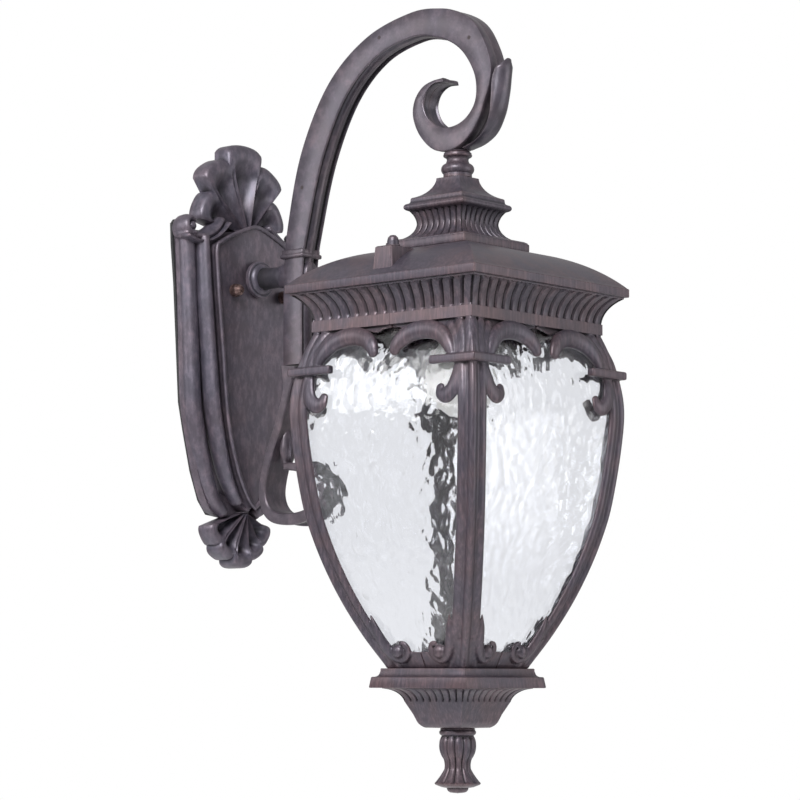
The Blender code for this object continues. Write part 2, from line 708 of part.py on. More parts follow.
def build_lead():
    """The lead from the lampholder, up the nipple, along the channel and through the neck."""
    line = beside(arm_samples(), lambda half: LEAD_ASIDE)
    inside = line[HUB_KNOT * ARM_STEPS + 3 : FOOT_KNOT * ARM_STEPS - 1 : 2]
    hub = Vector((bar_y(), HUB_HEIGHT))
    foot = Vector((-REACH, ARM_FOOT))
    below = Vector((-REACH, ROOF_TOP - HOLDER_TOP + 2))
    tail = Vector((-GASKET - 16, HUB_HEIGHT))
    crown = Vector((-REACH, CROWN_TOP - 30))
    route = [below, crown, foot, foot + Vector((-1.2, 9)), foot + Vector((-8, 14.5))]
    route += reversed(inside)
    route += [hub + Vector(step) for step in ((0, 20), (0.6, 9), (4.5, 2.2), (14, 0))]
    route.append(tail)
    path = smooth_path([(*point, 0) for point in route], 2)
    curve = bpy.data.curves.new("arm_lead", "CURVE")
    curve.dimensions = "3D"
    spline = curve.splines.new("POLY")
    spline.points.add(len(path) - 1)
    for point, (y, z, _) in zip(spline.points, path):
        point.co = (0, y * METRES_PER_MM, z * METRES_PER_MM, 1)
    curve.bevel_depth = 1.6 * METRES_PER_MM
    curve.bevel_resolution = 1
    curve.use_fill_caps = True
    curve.materials.append(material(WIRE))
    bpy.context.scene.collection.objects.link(bpy.data.objects.new("arm_lead", curve))


def build_lower_scroll():
    """The strap scroll under the bar, and the stud that joins it to the arm."""
    path = smooth_path(reach_to_wall(LOWER_PATH), ARM_STEPS)
    scroll = body("lower_scroll", ribbon(path, -SCROLL_HALF, SCROLL_HALF), BRONZE)
    top = ARM_FOOT - SCROLL_TOP
    drill = rod(MOUNT_STUD + BORE_CLEAR, -10, 9, 12)
    boolean(scroll, helper("scroll_drill", drill, (0, bar_y(), top)))
    body("scroll_stud", rod(MOUNT_STUD, -9, 14, 12), STEEL, (0, bar_y(), top))


# ---------------------------------------------------------------- wall plate


RIM_OUTLINE = [
    (0, 66), (30, 64), (58, 62), (72, 64), (80, 70), (85, 64), (84, 44), (80, 6), (76, -51),
    (72, -109), (65.5, -137), (55.6, -175), (44.5, -203), (33, -217), (0, -221),
]
PANEL_OUTLINE = [
    (0, 67), (7, 66), (22, 61), (38, 54), (50, 47), (57, 41), (55, 20), (53, -8), (47, -60),
    (42, -106), (37, -137), (27, -170), (17, -192), (8, -206), (0, -212),
]


def to_wall(profile, sides, name, finish, x, y, z=0.0, closed=False):
    """A piece turned about Y, its profile's heights running towards the wall."""
    return body(name, turned(profile, sides, closed), finish, (x, y, z), (-math.pi / 2, 0, 0))


def plate_rings(back, step, front, rim, panel):
    """Rim ring at the back and at the step, panel ring from the step to the front."""
    return [
        [across_wall(point, back) for point in rim],
        [across_wall(point, step) for point in rim],
        [across_wall(point, step - 2.0) for point in panel],
        [across_wall(point, front) for point in panel],
    ]


def build_plate():
    """The hollow wall plate, drilled for the studs and for the neck."""
    back = -GASKET - CLEAR
    rim = mirrored(RIM_OUTLINE)
    panel = mirrored(PANEL_OUTLINE)
    step = back - RIM_DEPTH
    plate = body("back_plate", loft(plate_rings(back, step, PANEL_FRONT, rim, panel)), BRONZE)
    hollow = plate_rings(back + 9, step + PLATE_WALL, PANEL_FRONT + PLATE_WALL,
                         inset(rim, PLATE_WALL + 1), inset(panel, PLATE_WALL))
    boolean(plate, helper("plate_hollow", loft(hollow)))
    for side, name in ((-1, "left"), (1, "right")):
        drill = rod(MOUNT_STUD + BORE_CLEAR, -9, 9, 12)
        place = (side * MOUNT_SPACING / 2, PANEL_FRONT, 0)
        boolean(plate, helper("stud_drill_" + name, drill, place, (-math.pi / 2, 0, 0)))
    neck = rod(SPIGOT + BORE_CLEAR, -9, 9)
    boolean(plate, helper("neck_drill", neck, (0, PANEL_FRONT, HUB_HEIGHT), (-math.pi / 2, 0, 0)))


def build_gasket():
    """The foam gasket between the plate's rim and the wall."""
    rim = inset(mirrored(RIM_OUTLINE), GASKET_INSET)
    body("wall_gasket", slab(rim, inset(rim, GASKET_WIDTH), -GASKET, 0, "XZ", closed=True), FOAM)


def build_crossbar():
    """The mounting crossbar with its studs, ground screw and the cap nuts outside the plate."""
    length, height, thick = CROSSBAR
    bar = body("mounting_crossbar", box((length, thick, height), (0, -thick / 2, 0)), STEEL)
    head = [(0, -2.4), (3.4, -2.0), (3.8, -CLEAR), (1.6, -CLEAR), (1.6, thick - 0.5), (0, thick - 0.5)]
    ground = (-15.0, -thick, 0)
    drill = helper("ground_drill", rod(1.6 + BORE_CLEAR, -9, 9, 12), ground, (-math.pi / 2, 0, 0))
    boolean(bar, drill)
    to_wall(head, 12, "ground_screw", BRASS, ground[0], ground[1])
    stud_length = -PANEL_FRONT + 7
    bore = MOUNT_STUD + BORE_CLEAR
    for side, name in ((-1, "left"), (1, "right")):
        x = side * MOUNT_SPACING / 2
        drill = helper("bar_drill_" + name, rod(bore, -9, 9, 12), (x, -thick, 0), (-math.pi / 2, 0, 0))
        boolean(bar, drill)
        rod_profile = [(0, -stud_length), (MOUNT_STUD, -stud_length), (MOUNT_STUD, -0.2), (0, -0.2)]
        to_wall(rod_profile, 12, "mounting_stud_" + name, STEEL, x, 0)
        nut = [
            (0, -11.5), (3, -10.9), (5, -9), (5.9, -6.2), (5.9, -3.4), (6.35, -3.4), (6.35, 0),
            (bore, 0), (bore, -8), (0, -8),
        ]
        to_wall(nut, 16, "cap_nut_" + name, NUT_BRASS, x, PANEL_FRONT - CLEAR)


def build_neck():
    """The neck between the hub ball and the plate, with flange, spigot and locknut."""
    start = -bar_y() + PANEL_FRONT
    front = 9.0
    flange_back = start - CLEAR
    spigot_end = start + PLATE_WALL + 9
    profile = [
        (NECK_BORE, front), (NECK, front), (NECK, flange_back - FLANGE_DEPTH),
        (FLANGE - 1.5, flange_back - FLANGE_DEPTH), (FLANGE, flange_back - 3), (FLANGE, flange_back),
        (SPIGOT, flange_back), (SPIGOT, spigot_end), (NECK_BORE, spigot_end),
    ]
    neck = to_wall(profile, 24, "hub_neck", BRONZE, 0, bar_y(), HUB_HEIGHT, closed=True)
    boolean(neck, ball(HUB_BALL + 0.7, "hub_clearance"))
    hex_bore = (SPIGOT + BORE_CLEAR) / math.cos(math.pi / 6)
    nut = [(hex_bore, 0), (14, 0), (14, 4), (hex_bore, 4)]
    to_wall(nut, 6, "hub_locknut", STEEL, 0, PANEL_FRONT + PLATE_WALL + CLEAR, HUB_HEIGHT, closed=True)


SHELL_SPREAD = 118  # degrees to each side of the middle lobe
SHELL_STEPS = 30
SHELL_LOBES = 5


def shell_outline(width, height, foot, direction):
    """A scalloped fan above (or below) the line at foot."""
    points = []
    lowest = math.cos(math.radians(SHELL_SPREAD))
    for step in range(SHELL_STEPS + 1):
        share = step / SHELL_STEPS
        angle = math.radians(SHELL_SPREAD * (2 * share - 1))
        swell = 0.92 + 0.08 * abs(math.sin(math.pi * SHELL_LOBES * share))
        rise = (math.cos(angle) - lowest) / (1 - lowest)
        points.append(Vector((width * math.sin(angle) * swell, foot + direction * height * rise * swell)))
    return points


def build_shells():
    """The shell ornaments above and below the plate."""
    top_foot = PANEL_OUTLINE[0][1] + CLEAR
    bottom_foot = RIM_OUTLINE[-1][1] - CLEAR
    back = -1.0
    for name, width, height, foot, direction in (
        ("top_shell", 52, TOP_SHELL, top_foot, 1), ("bottom_shell", 44, BOTTOM_SHELL, bottom_foot, -1),
    ):
        fan = shell_outline(width, height, foot, direction)
        rings = [[(p.x, y, p.y) for p in fan] for y in (back, back - SHELL_DEPTH)]
        body(name, loft(rings), BRONZE)


def main():
    """Builds every piece of the lantern."""
    clear_scene()
    build_collar()
    build_crown()
    build_roof()
    build_roof_screws()
    build_nipple()
    build_lamp()
    build_corners()
    build_glass()
    build_splices()
    build_tray()
    build_cup()
    build_finial()
    build_arm()
    build_lead()
    build_lower_scroll()
    build_plate()
    build_gasket()
    build_crossbar()
    build_neck()
    build_shells()


main()
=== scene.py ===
"""Looks of the outdoor wall lantern: cast bronze ornament, hammered glass and their finishes.

Pieces are drawn in millimetres in the frame's own axes and published in metres. Heights and places
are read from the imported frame's boxes.
"""

from __future__ import annotations
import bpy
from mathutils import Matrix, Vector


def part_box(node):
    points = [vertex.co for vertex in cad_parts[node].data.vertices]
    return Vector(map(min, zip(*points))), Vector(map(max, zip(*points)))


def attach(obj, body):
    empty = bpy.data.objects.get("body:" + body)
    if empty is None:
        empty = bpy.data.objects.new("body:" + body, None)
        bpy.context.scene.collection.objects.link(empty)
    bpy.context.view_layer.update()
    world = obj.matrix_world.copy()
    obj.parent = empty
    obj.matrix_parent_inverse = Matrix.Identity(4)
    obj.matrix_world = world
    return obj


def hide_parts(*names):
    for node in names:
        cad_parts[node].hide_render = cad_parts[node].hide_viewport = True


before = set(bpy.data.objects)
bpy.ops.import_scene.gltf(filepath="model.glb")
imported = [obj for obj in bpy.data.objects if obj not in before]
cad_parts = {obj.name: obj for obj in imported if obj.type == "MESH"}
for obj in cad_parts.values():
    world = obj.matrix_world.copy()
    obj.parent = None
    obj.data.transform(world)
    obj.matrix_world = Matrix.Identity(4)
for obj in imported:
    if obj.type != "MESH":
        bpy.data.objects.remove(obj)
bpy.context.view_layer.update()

import logging
import math
from dataclasses import dataclass
from enum import Enum
from typing import Callable, Sequence

import bmesh
import bpy
from mathutils import Matrix, Vector, noise

LOG = logging.getLogger("lantern")
MM = 1000.0


class Slot(Enum):
    """The record's material slots."""

    BRONZE = "bronze"
    GLASS = "water_glass"
    DARK = "dark_bronze"


class Body(Enum):
    """The frame's bodies that new pieces ride on."""

    WALL = "wall_assembly"
    CAGE = "cage"
    FINIAL = "finial"


def span(node: str) -> tuple[Vector, Vector]:
    """Lowest and highest corner of a frame node, in millimetres."""
    low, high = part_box(node)
    return low * MM, high * MM


ROOF_LOW, ROOF_HIGH = span("roof")
AXIS_Y = (ROOF_LOW.y + ROOF_HIGH.y) / 2
AXIS = Vector((0.0, AXIS_Y, 0.0))


# ------------------------------------------------------------------ outlines


def bow(start: Sequence[float], end: Sequence[float], bulge: float, steps: int = 6) -> list[Vector]:
    """Points of an arc between two places.

    Args:
        start: First point.
        end: Last point, which is included.
        bulge: How far the middle stands to the left of the line from start to end.
        steps: Number of chords.

    Returns:
        The arc's points, without start.
    """
    a, b = Vector(start).xy, Vector(end).xy
    chord = b - a
    left = Vector((-chord.y, chord.x)).normalized()
    if abs(bulge) < 1e-6:
        return [a.lerp(b, (i + 1) / steps) for i in range(steps)]
    radius = (chord.length_squared / 4 + bulge * bulge) / (2 * bulge)
    half = math.asin(max(-1.0, min(1.0, chord.length / 2 / abs(radius))))
    if abs(bulge) > chord.length / 2:
        half = math.pi - half
    middle = (a + b) / 2 + left * (bulge - radius)
    points = []
    for i in range(steps):
        angle = -half + 2 * half * (i + 1) / steps
        reach = left * math.cos(angle) * radius + chord.normalized() * math.sin(angle) * abs(radius)
        points.append(middle + reach)
    points[-1] = b
    return points


def smooth(points: Sequence[Sequence[float]], steps: int = 6) -> list[Vector]:
    """Catmull-Rom points through the given ones, each coordinate carried along.

    Args:
        points: Two or more points of as many coordinates each.
        steps: Points per stretch.

    Returns:
        The smooth line's points.
    """
    knots = [Vector(p) for p in points]
    knots = [knots[0] * 2 - knots[1], *knots, knots[-1] * 2 - knots[-2]]
    line = []
    for a, b, c, d in zip(knots, knots[1:], knots[2:], knots[3:]):
        for i in range(steps):
            t = i / steps
            line.append(0.5 * (2 * b + (c - a) * t + (2 * a - 5 * b + 4 * c - d) * t**2
                               + (3 * b - a - 3 * c + d) * t**3))
    line.append(knots[-2])
    return line


def along(line: Sequence[Vector], share: float) -> Vector:
    """The point of a line at a share of its count of stretches."""
    place = min(max(share, 0.0), 1.0) * (len(line) - 1)
    index = min(int(place), len(line) - 2)
    return line[index].lerp(line[index + 1], place - index)


class Moulding:
    """An outline of (half width, height) points, some of them fluted."""

    def __init__(self, half: float, height: float) -> None:
        """Starts at a point."""
        self.points = [Vector((half, height))]
        self.fluted: list[float] = [0.0]

    def to(self, half: float, height: float) -> "Moulding":
        """A straight stretch."""
        self.points.append(Vector((half, height)))
        self.fluted.append(0.0)
        return self

    def arc(self, half: float, height: float, bulge: float, steps: int = 6, flute: float = 0.0) -> "Moulding":
        """An arc; flute is the depth of the flutes cut along it."""
        for point in bow(self.points[-1], (half, height), bulge, steps):
            self.points.append(point)
            self.fluted.append(flute)
        return self

    def normal(self, index: int) -> Vector:
        """Outward normal: to the right of a moulding drawn from top to bottom on its outer side."""
        last = len(self.points) - 1
        before = self.points[max(index - 1, 0)]
        after = self.points[min(index + 1, last)]
        run = (after - before).normalized()
        return Vector((-run.y, run.x))

    def depth_along(self, index: int) -> float:
        """Distance from the top end of the fluted stretch that holds this point, or a negative number."""
        if not self.fluted[index]:
            return -1.0
        total = 0.0
        while index > 0 and self.fluted[index]:
            total += (self.points[index] - self.points[index - 1]).length
            index -= 1
        return total

    def depth_below(self, index: int) -> float:
        """Distance to the lower end of the fluted stretch."""
        total = 0.0
        while index + 1 < len(self.points) and self.fluted[index + 1]:
            total += (self.points[index + 1] - self.points[index]).length
            index += 1
        return total


def tongue(across: float, down: float, up: float) -> float:
    """How deep the ground round a tongue-shaped flute is, from 0 on its crown to 1 beside it.

    Args:
        across: Place across the tongue, from -1 to 1.
        down: Distance from its arched top, in half widths.
        up: Distance from its foot, in half widths.

    Returns:
        The share of the flute's depth.
    """
    edge = math.sqrt(max(0.02, 1 - (1 - down) ** 2)) if down < 1 else 1.0
    reach = abs(across) / edge
    ground = min(max((reach - 0.66) / 0.28, 0.0), 1.0)
    ground = ground * ground * (3 - 2 * ground)
    fade = min(1.0, up / 0.35) if up < 0.35 else 1.0
    return (0.28 * min(reach, 1.0) ** 2 + 0.72 * ground) * fade


# ------------------------------------------------------------------ meshes


def grid(columns: int, rows: int, place: Callable[[float, float], Vector]) -> bmesh.types.BMesh:
    """A sheet of quads laid out by a function of two shares from 0 to 1.

    Args:
        columns: Cells along the first share.
        rows: Cells along the second share.
        place: The point at a pair of shares.

    Returns:
        The open sheet.
    """
    bm = bmesh.new()
    bmesh.ops.create_grid(bm, x_segments=columns, y_segments=rows, size=0.5)
    for vert in bm.verts:
        vert.co = place(round((vert.co.x + 0.5) * columns) / columns, round((vert.co.y + 0.5) * rows) / rows)
    return bm


def close(bm: bmesh.types.BMesh) -> bmesh.types.BMesh:
    """Merges seams and poles, fills open ends and turns the faces outwards."""
    bmesh.ops.remove_doubles(bm, verts=bm.verts, dist=0.004)
    bmesh.ops.dissolve_degenerate(bm, edges=bm.edges, dist=0.0005)
    rim = [edge for edge in bm.edges if edge.is_boundary]
    if rim:
        bmesh.ops.holes_fill(bm, edges=rim, sides=0)
    bmesh.ops.recalc_face_normals(bm, faces=bm.faces)
    return bm


def add(target: bmesh.types.BMesh, extra: bmesh.types.BMesh, matrix: Matrix | None = None) -> None:
    """Copies one bmesh into another, moved by a matrix, and frees it."""
    mesh = bpy.data.meshes.new("extra")
    extra.to_mesh(mesh)
    extra.free()
    if matrix is not None:
        mesh.transform(matrix)
        if matrix.determinant() < 0:
            mesh.flip_normals()
    target.from_mesh(mesh)
    bpy.data.meshes.remove(mesh)


def square_turning(moulding: Moulding, flutes: int = 0, cells: int = 10) -> bmesh.types.BMesh:
    """A four-sided body whose section is a moulding.

    Args:
        moulding: The section, from top to bottom down the outer side.
        flutes: Tongues per side on the fluted stretches.
        cells: Columns per tongue, or per side when there are no flutes.

    Returns:
        The closed body about the lantern's axis.
    """
    columns = max(flutes, 1) * cells
    points = moulding.points
    rows = len(points) - 1
    normals = [moulding.normal(i) for i in range(len(points))]
    depths = [moulding.depth_along(i) for i in range(len(points))]
    belows = [moulding.depth_below(i) if moulding.fluted[i] else 0.0 for i in range(len(points))]

    def place(u: float, v: float) -> Vector:
        """The point at a pair of shares."""
        index = round(v * rows)
        side = min(int(u * 4 + 1e-9), 3)
        share = u * 4 - side
        half, height = points[index]
        if flutes and moulding.fluted[index] and 0 < share < 1:
            pitch = half / flutes
            across = (share * flutes) % 1.0 * 2 - 1
            cut = moulding.fluted[index] * tongue(across, depths[index] / pitch, belows[index] / pitch)
            half -= normals[index].x * cut
            height -= normals[index].y * cut
        point = Vector(((2 * share - 1) * points[index].x, half, height))
        if abs(2 * share - 1) > 0.999:
            point.y = points[index].x
        return Matrix.Rotation(-side * math.pi / 2, 3, "Z") @ point + AXIS

    return close(grid(columns * 4, rows, place))


def round_turning(moulding: Moulding, sides: int = 64, flutes: int = 0) -> bmesh.types.BMesh:
    """A turned body about Z whose fluted stretches carry tongues all round."""
    points = moulding.points
    rows = len(points) - 1

    def place(u: float, v: float) -> Vector:
        """The point at a pair of shares."""
        index = round(v * rows)
        radius, height = points[index]
        if flutes and moulding.fluted[index]:
            pitch = math.pi * radius / flutes
            across = (u * flutes) % 1.0 * 2 - 1
            cut = moulding.fluted[index] * tongue(
                across, moulding.depth_along(index) / pitch, moulding.depth_below(index) / pitch)
            radius -= moulding.normal(index).x * cut
            height -= moulding.normal(index).y * cut
        angle = -u * math.tau
        return Vector((radius * math.cos(angle), radius * math.sin(angle), height))

    return close(grid(sides, rows, place))


def tube(path: Sequence[Vector], radii: Sequence[float], lift: Sequence[Vector] | None = None,
         flat: float = 1.0, sides: int = 14) -> bmesh.types.BMesh:
    """A closed rod along a path, with round ends.

    Args:
        path: Its centre line.
        radii: Radius at each point of the path.
        lift: The direction in which the rod is flattened, at each point.
        flat: Its thickness along lift, as a share of its width.
        sides: Facets round it.

    Returns:
        The closed rod.
    """
    count = len(path)
    rings = []
    for i, (point, radius) in enumerate(zip(path, radii)):
        run = (path[min(i + 1, count - 1)] - path[max(i - 1, 0)]).normalized()
        up = lift[i] if lift else Vector((0.0, 0.0, 1.0))
        if abs(run.dot(up)) > 0.97:
            up = Vector((1.0, 0.0, 0.0))
        side = run.cross(up).normalized()
        rings.append((point, radius, side, side.cross(run).normalized(), run))
    ends = [(-0.98, 0.2), (-0.75, 0.66), (-0.4, 0.92)]
    first, last = rings[0], rings[-1]
    rows = [(first, shift, scale) for shift, scale in ends]
    rows += [(ring, 0.0, 1.0) for ring in rings]
    rows += [(last, -shift, scale) for shift, scale in reversed(ends)]

    def place(u: float, v: float) -> Vector:
        """The point at a pair of shares."""
        (point, radius, side, up, run), shift, scale = rows[round(v * (len(rows) - 1))]
        angle = u * math.tau
        across = side * math.cos(angle) + up * math.sin(angle) * flat
        return point + run * radius * shift * 0.8 + across * radius * scale

    return close(grid(sides, len(rows) - 1, place))


def extruded(outline: Sequence[Vector], place: Callable[[Vector, float], Vector], low: float,
             high: float) -> bmesh.types.BMesh:
    """A flat outline given thickness; place puts an outline point at a height."""
    bm = bmesh.new()
    verts = [bm.verts.new(place(point, low)) for point in outline]
    face = bm.faces.new(verts)
    grown = bmesh.ops.extrude_face_region(bm, geom=[face])["geom"]
    moved = [item for item in grown if isinstance(item, bmesh.types.BMVert)]
    shift = place(outline[0], high) - place(outline[0], low)
    bmesh.ops.translate(bm, vec=shift, verts=moved)
    bmesh.ops.recalc_face_normals(bm, faces=bm.faces)
    return bm


def block(size: Sequence[float], middle: Sequence[float], bevel: float = 0.0,
          segments: int = 2) -> bmesh.types.BMesh:
    """A box about its middle, with its edges rounded."""
    bm = bmesh.new()
    bmesh.ops.create_cube(bm, size=1.0)
    bmesh.ops.scale(bm, vec=Vector(size), verts=bm.verts)
    if bevel:
        bmesh.ops.bevel(bm, geom=bm.edges[:], offset=bevel, affect="EDGES", segments=segments,
                        profile=0.5, material=-1)
    bmesh.ops.translate(bm, vec=Vector(middle), verts=bm.verts)
    return bm


def fused(bm: bmesh.types.BMesh, voxel: float, rounds: int, factor: float = 0.5) -> bmesh.types.BMesh:
    """Melts overlapping shells into one casting.

    Args:
        bm: The shells, in millimetres.
        voxel: Size of the cells that they are melted in.
        rounds: Rounds of smoothing.
        factor: Strength of each round.

    Returns:
        The casting's one skin.
    """
    mesh = bpy.data.meshes.new("melt")
    bm.to_mesh(mesh)
    bm.free()
    obj = bpy.data.objects.new("melt", mesh)
    bpy.context.scene.collection.objects.link(obj)
    remesh = obj.modifiers.new("melt", "REMESH")
    remesh.mode = "VOXEL"
    remesh.voxel_size = voxel
    soften = obj.modifiers.new("soften", "SMOOTH")
    soften.factor = factor
    soften.iterations = rounds
    graph = bpy.context.evaluated_depsgraph_get()
    result = bmesh.new()
    result.from_object(obj, graph)
    bpy.data.objects.remove(obj)
    bpy.data.meshes.remove(mesh)
    return result


def publish(name: str, bm: bmesh.types.BMesh, finish: "Finish", body: Body, slot: Slot,
            replaces: Sequence[str] = (), sharp: float = 40.0) -> bpy.types.Object:
    """Makes a finished piece of a bmesh that is drawn in millimetres.

    Args:
        name: The piece's name.
        bm: Its closed shape.
        finish: What it is painted with.
        body: The body it rides on.
        slot: The record's slot for the piece; not used.
        replaces: Frame nodes that it stands for.
        sharp: Angle in degrees above which an edge is drawn sharp.

    Returns:
        The piece's object, at the origin.
    """
    bmesh.ops.scale(bm, vec=Vector((1, 1, 1)) / MM, verts=bm.verts)
    mesh = bpy.data.meshes.new(name)
    bm.to_mesh(mesh)
    bm.free()
    mesh.shade_smooth()
    mesh.set_sharp_from_angle(angle=math.radians(sharp))
    mesh.materials.append(finish.material())
    obj = bpy.data.objects.new(name, mesh)
    bpy.context.scene.collection.objects.link(obj)
    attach(obj, body.value)
    if replaces:
        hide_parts(*replaces)
    LOG.info("%s: %d faces on %s", name, len(mesh.polygons), body.value)
    return obj


# ------------------------------------------------------------------ shading


class Socket:
    """A shader value: arithmetic on it adds math nodes."""

    def __init__(self, tree: bpy.types.NodeTree, output: bpy.types.NodeSocket) -> None:
        """Wraps a node's output."""
        self.tree = tree
        self.output = output

    def math(self, operation: str, *others: "Socket | float", clamp: bool = False) -> "Socket":
        """A math node of this value and others."""
        made = node(self.tree, "ShaderNodeMath", operation=operation, use_clamp=clamp)
        for index, value in enumerate((self, *others)):
            feed(self.tree, made.inputs[index], value)
        return Socket(self.tree, made.outputs[0])

    def __add__(self, other: "Socket | float") -> "Socket":
        """This value plus another."""
        return self.math("ADD", other)

    def __sub__(self, other: "Socket | float") -> "Socket":
        """This value less another."""
        return self.math("SUBTRACT", other)

    def __mul__(self, other: "Socket | float") -> "Socket":
        """This value times another."""
        return self.math("MULTIPLY", other)

    def __radd__(self, other: float) -> "Socket":
        """A number plus this value."""
        return self + other

    def __rsub__(self, other: float) -> "Socket":
        """A number less this value."""
        return self * -1.0 + other

    def __rmul__(self, other: float) -> "Socket":
        """A number times this value."""
        return self * other

    def over(self, low: float, high: float) -> "Socket":
        """0 below low and 1 above high, smooth between them."""
        made = node(self.tree, "ShaderNodeMapRange", interpolation_type="SMOOTHSTEP")
        feed(self.tree, made.inputs["Value"], self)
        made.inputs["From Min"].default_value = low
        made.inputs["From Max"].default_value = high
        return Socket(self.tree, made.outputs[0])

    def clamped(self) -> "Socket":
        """The value kept between 0 and 1."""
        return self.math("MULTIPLY", 1.0, clamp=True)


Feed = Socket | float | tuple[float, ...]


def node(tree: bpy.types.NodeTree, kind: str, **settings: object) -> bpy.types.Node:
    """Adds a node with some of its settings."""
    made = tree.nodes.new(kind)
    for name, value in settings.items():
        setattr(made, name, value)
    return made


def feed(tree: bpy.types.NodeTree, socket: bpy.types.NodeSocket, value: Feed) -> None:
    """Links a shader value to an input, or sets it."""
    if isinstance(value, Socket):
        tree.links.new(value.output, socket)
    else:
        socket.default_value = value


def mixed(share: Socket | float, first: Feed, second: Feed, blend: str = "MIX") -> Socket:
    """A colour between two others, or one blended over another."""
    tree = next(item.tree for item in (share, first, second) if isinstance(item, Socket))
    made = node(tree, "ShaderNodeMix", data_type="RGBA", blend_type=blend)
    feed(tree, made.inputs["Factor"], share)
    feed(tree, made.inputs["A"], first)
    feed(tree, made.inputs["B"], second)
    return Socket(tree, made.outputs["Result"])


def linear(red: int, green: int, blue: int) -> tuple[float, float, float, float]:
    """An everyday 0-255 colour as the linear one that a shader takes."""
    def channel(value: int) -> float:
        """One colour channel, made linear."""
        share = value / 255
        return share / 12.92 if share <= 0.04045 else ((share + 0.055) / 1.055) ** 2.4
    return channel(red), channel(green), channel(blue), 1.0


class Paint:
    """A material's node tree, with the textures that the finishes share."""

    def __init__(self, name: str) -> None:
        """Starts an empty material with an output and a Principled BSDF."""
        self.material = bpy.data.materials.new(name)
        self.material.use_nodes = True
        self.tree = self.material.node_tree
        self.tree.nodes.clear()
        self.output = node(self.tree, "ShaderNodeOutputMaterial")
        self.shader = node(self.tree, "ShaderNodeBsdfPrincipled")
        self.tree.links.new(self.shader.outputs[0], self.output.inputs["Surface"])
        self.place = Socket(self.tree, node(self.tree, "ShaderNodeTexCoord").outputs["Object"])

    def set(self, **values: Feed) -> "Paint":
        """Sets or links inputs of the shader, underscores standing for spaces."""
        for name, value in values.items():
            feed(self.tree, self.shader.inputs[name.replace("_", " ")], value)
        return self

    def noise(self, scale: float, detail: float = 3.0, stretch: Sequence[float] = (1, 1, 1),
              rough: float = 0.55, warp: float = 0.0) -> Socket:
        """Noise about the object's own place; scale counts cells per metre."""
        mapping = node(self.tree, "ShaderNodeMapping")
        feed(self.tree, mapping.inputs["Vector"], self.place)
        mapping.inputs["Scale"].default_value = tuple(stretch)
        made = node(self.tree, "ShaderNodeTexNoise")
        self.tree.links.new(mapping.outputs[0], made.inputs["Vector"])
        made.inputs["Scale"].default_value = scale
        made.inputs["Detail"].default_value = detail
        made.inputs["Roughness"].default_value = rough
        made.inputs["Distortion"].default_value = warp
        return Socket(self.tree, made.outputs[0])

    def cells(self, scale: float) -> Socket:
        """Distance to the nearest of scattered points."""
        made = node(self.tree, "ShaderNodeTexVoronoi", feature="SMOOTH_F1")
        feed(self.tree, made.inputs["Vector"], self.place)
        made.inputs["Scale"].default_value = scale
        made.inputs["Smoothness"].default_value = 0.6
        return Socket(self.tree, made.outputs["Distance"])

    def wear_and_painted_light(self) -> Socket:
        """How far a place stands proud, under a half in grooves and over it on edges; it drives edge wear, a
        painted edge highlight and painted groove shade.
        """
        return Socket(self.tree, node(self.tree, "ShaderNodeNewGeometry").outputs["Pointiness"])

    def bump(self, height: Socket, distance: float, strength: float = 1.0) -> Socket:
        """A normal bent by a height."""
        made = node(self.tree, "ShaderNodeBump")
        made.inputs["Strength"].default_value = strength
        made.inputs["Distance"].default_value = distance
        feed(self.tree, made.inputs["Height"], height)
        return Socket(self.tree, made.outputs[0])


@dataclass(frozen=True)
class Finish:
    """A named finish; each kind builds its own nodes once."""

    name: str

    def build(self) -> bpy.types.Material:
        """Makes the material."""
        raise NotImplementedError

    def material(self) -> bpy.types.Material:
        """The finish's one material, made at first use."""
        return bpy.data.materials.get(self.name) or self.build()


@dataclass(frozen=True)
class BrushedBronze(Finish):
    """Dark bronze paint with reddish brown on proud edges, partly wiped wear and partly a painted edge
    highlight, and painted shade darkening its grooves.

    Attributes:
        cool: The main colour.
        warm: The reddish colour of the wiped patches, also laid on proud edges as wear and painted highlight.
        dark: The painted shade colour laid in grooves and hollows.
        streak: Stretch of the brush marks.
        warmth: How much of the warm colour lies on open faces.
        rough: Roughness of open faces.
        metal: Metallic share.
    """

    cool: tuple[int, int, int] = (70, 65, 75)
    warm: tuple[int, int, int] = (94, 75, 77)
    dark: tuple[int, int, int] = (15, 13, 16)
    streak: tuple[float, float, float] = (14.0, 14.0, 1.6)
    warmth: float = 0.42
    rough: float = 0.4
    metal: float = 0.4

    def build(self) -> bpy.types.Material:
        """Makes the material."""
        paint = Paint(self.name)
        clouds = paint.noise(26.0, 4.0, warp=0.4)
        streaks = paint.noise(30.0, 5.0, self.streak, rough=0.7)
        grain = paint.noise(900.0, 2.0)
        wear_and_painted_light = paint.wear_and_painted_light()
        # Proud edges take the warm colour: partly real rubbed wear, partly a painted edge highlight.
        proud = wear_and_painted_light.over(0.505, 0.56)
        # Painted shade: sunk places such as grooves and hollows get the dark colour, and more roughness.
        groove_shade = wear_and_painted_light.over(0.5, 0.44)
        brushed = streaks.over(0.5, 0.72) * 0.22
        warm = (clouds.over(0.38, 0.66) * self.warmth + proud * 0.3 + brushed).clamped()
        colour = mixed(warm, linear(*self.cool), linear(*self.warm))
        light = mixed(streaks.over(0.38, 0.72) * 0.6, (0.7, 0.7, 0.71, 1), (1.62, 1.58, 1.58, 1))
        colour = mixed(1.0, colour, light, "MULTIPLY")
        # Painted shade: grooves and hollows darkened towards the dark colour.
        colour = mixed(groove_shade * 0.85, colour, linear(*self.dark))
        paint.set(Base_Color=colour, Metallic=self.metal,
                  Roughness=streaks * 0.22 + (self.rough - 0.11) + groove_shade * 0.25,
                  Normal=paint.bump(streaks * 0.7 + grain * 0.3, 0.00012, 0.55))
        return paint.material


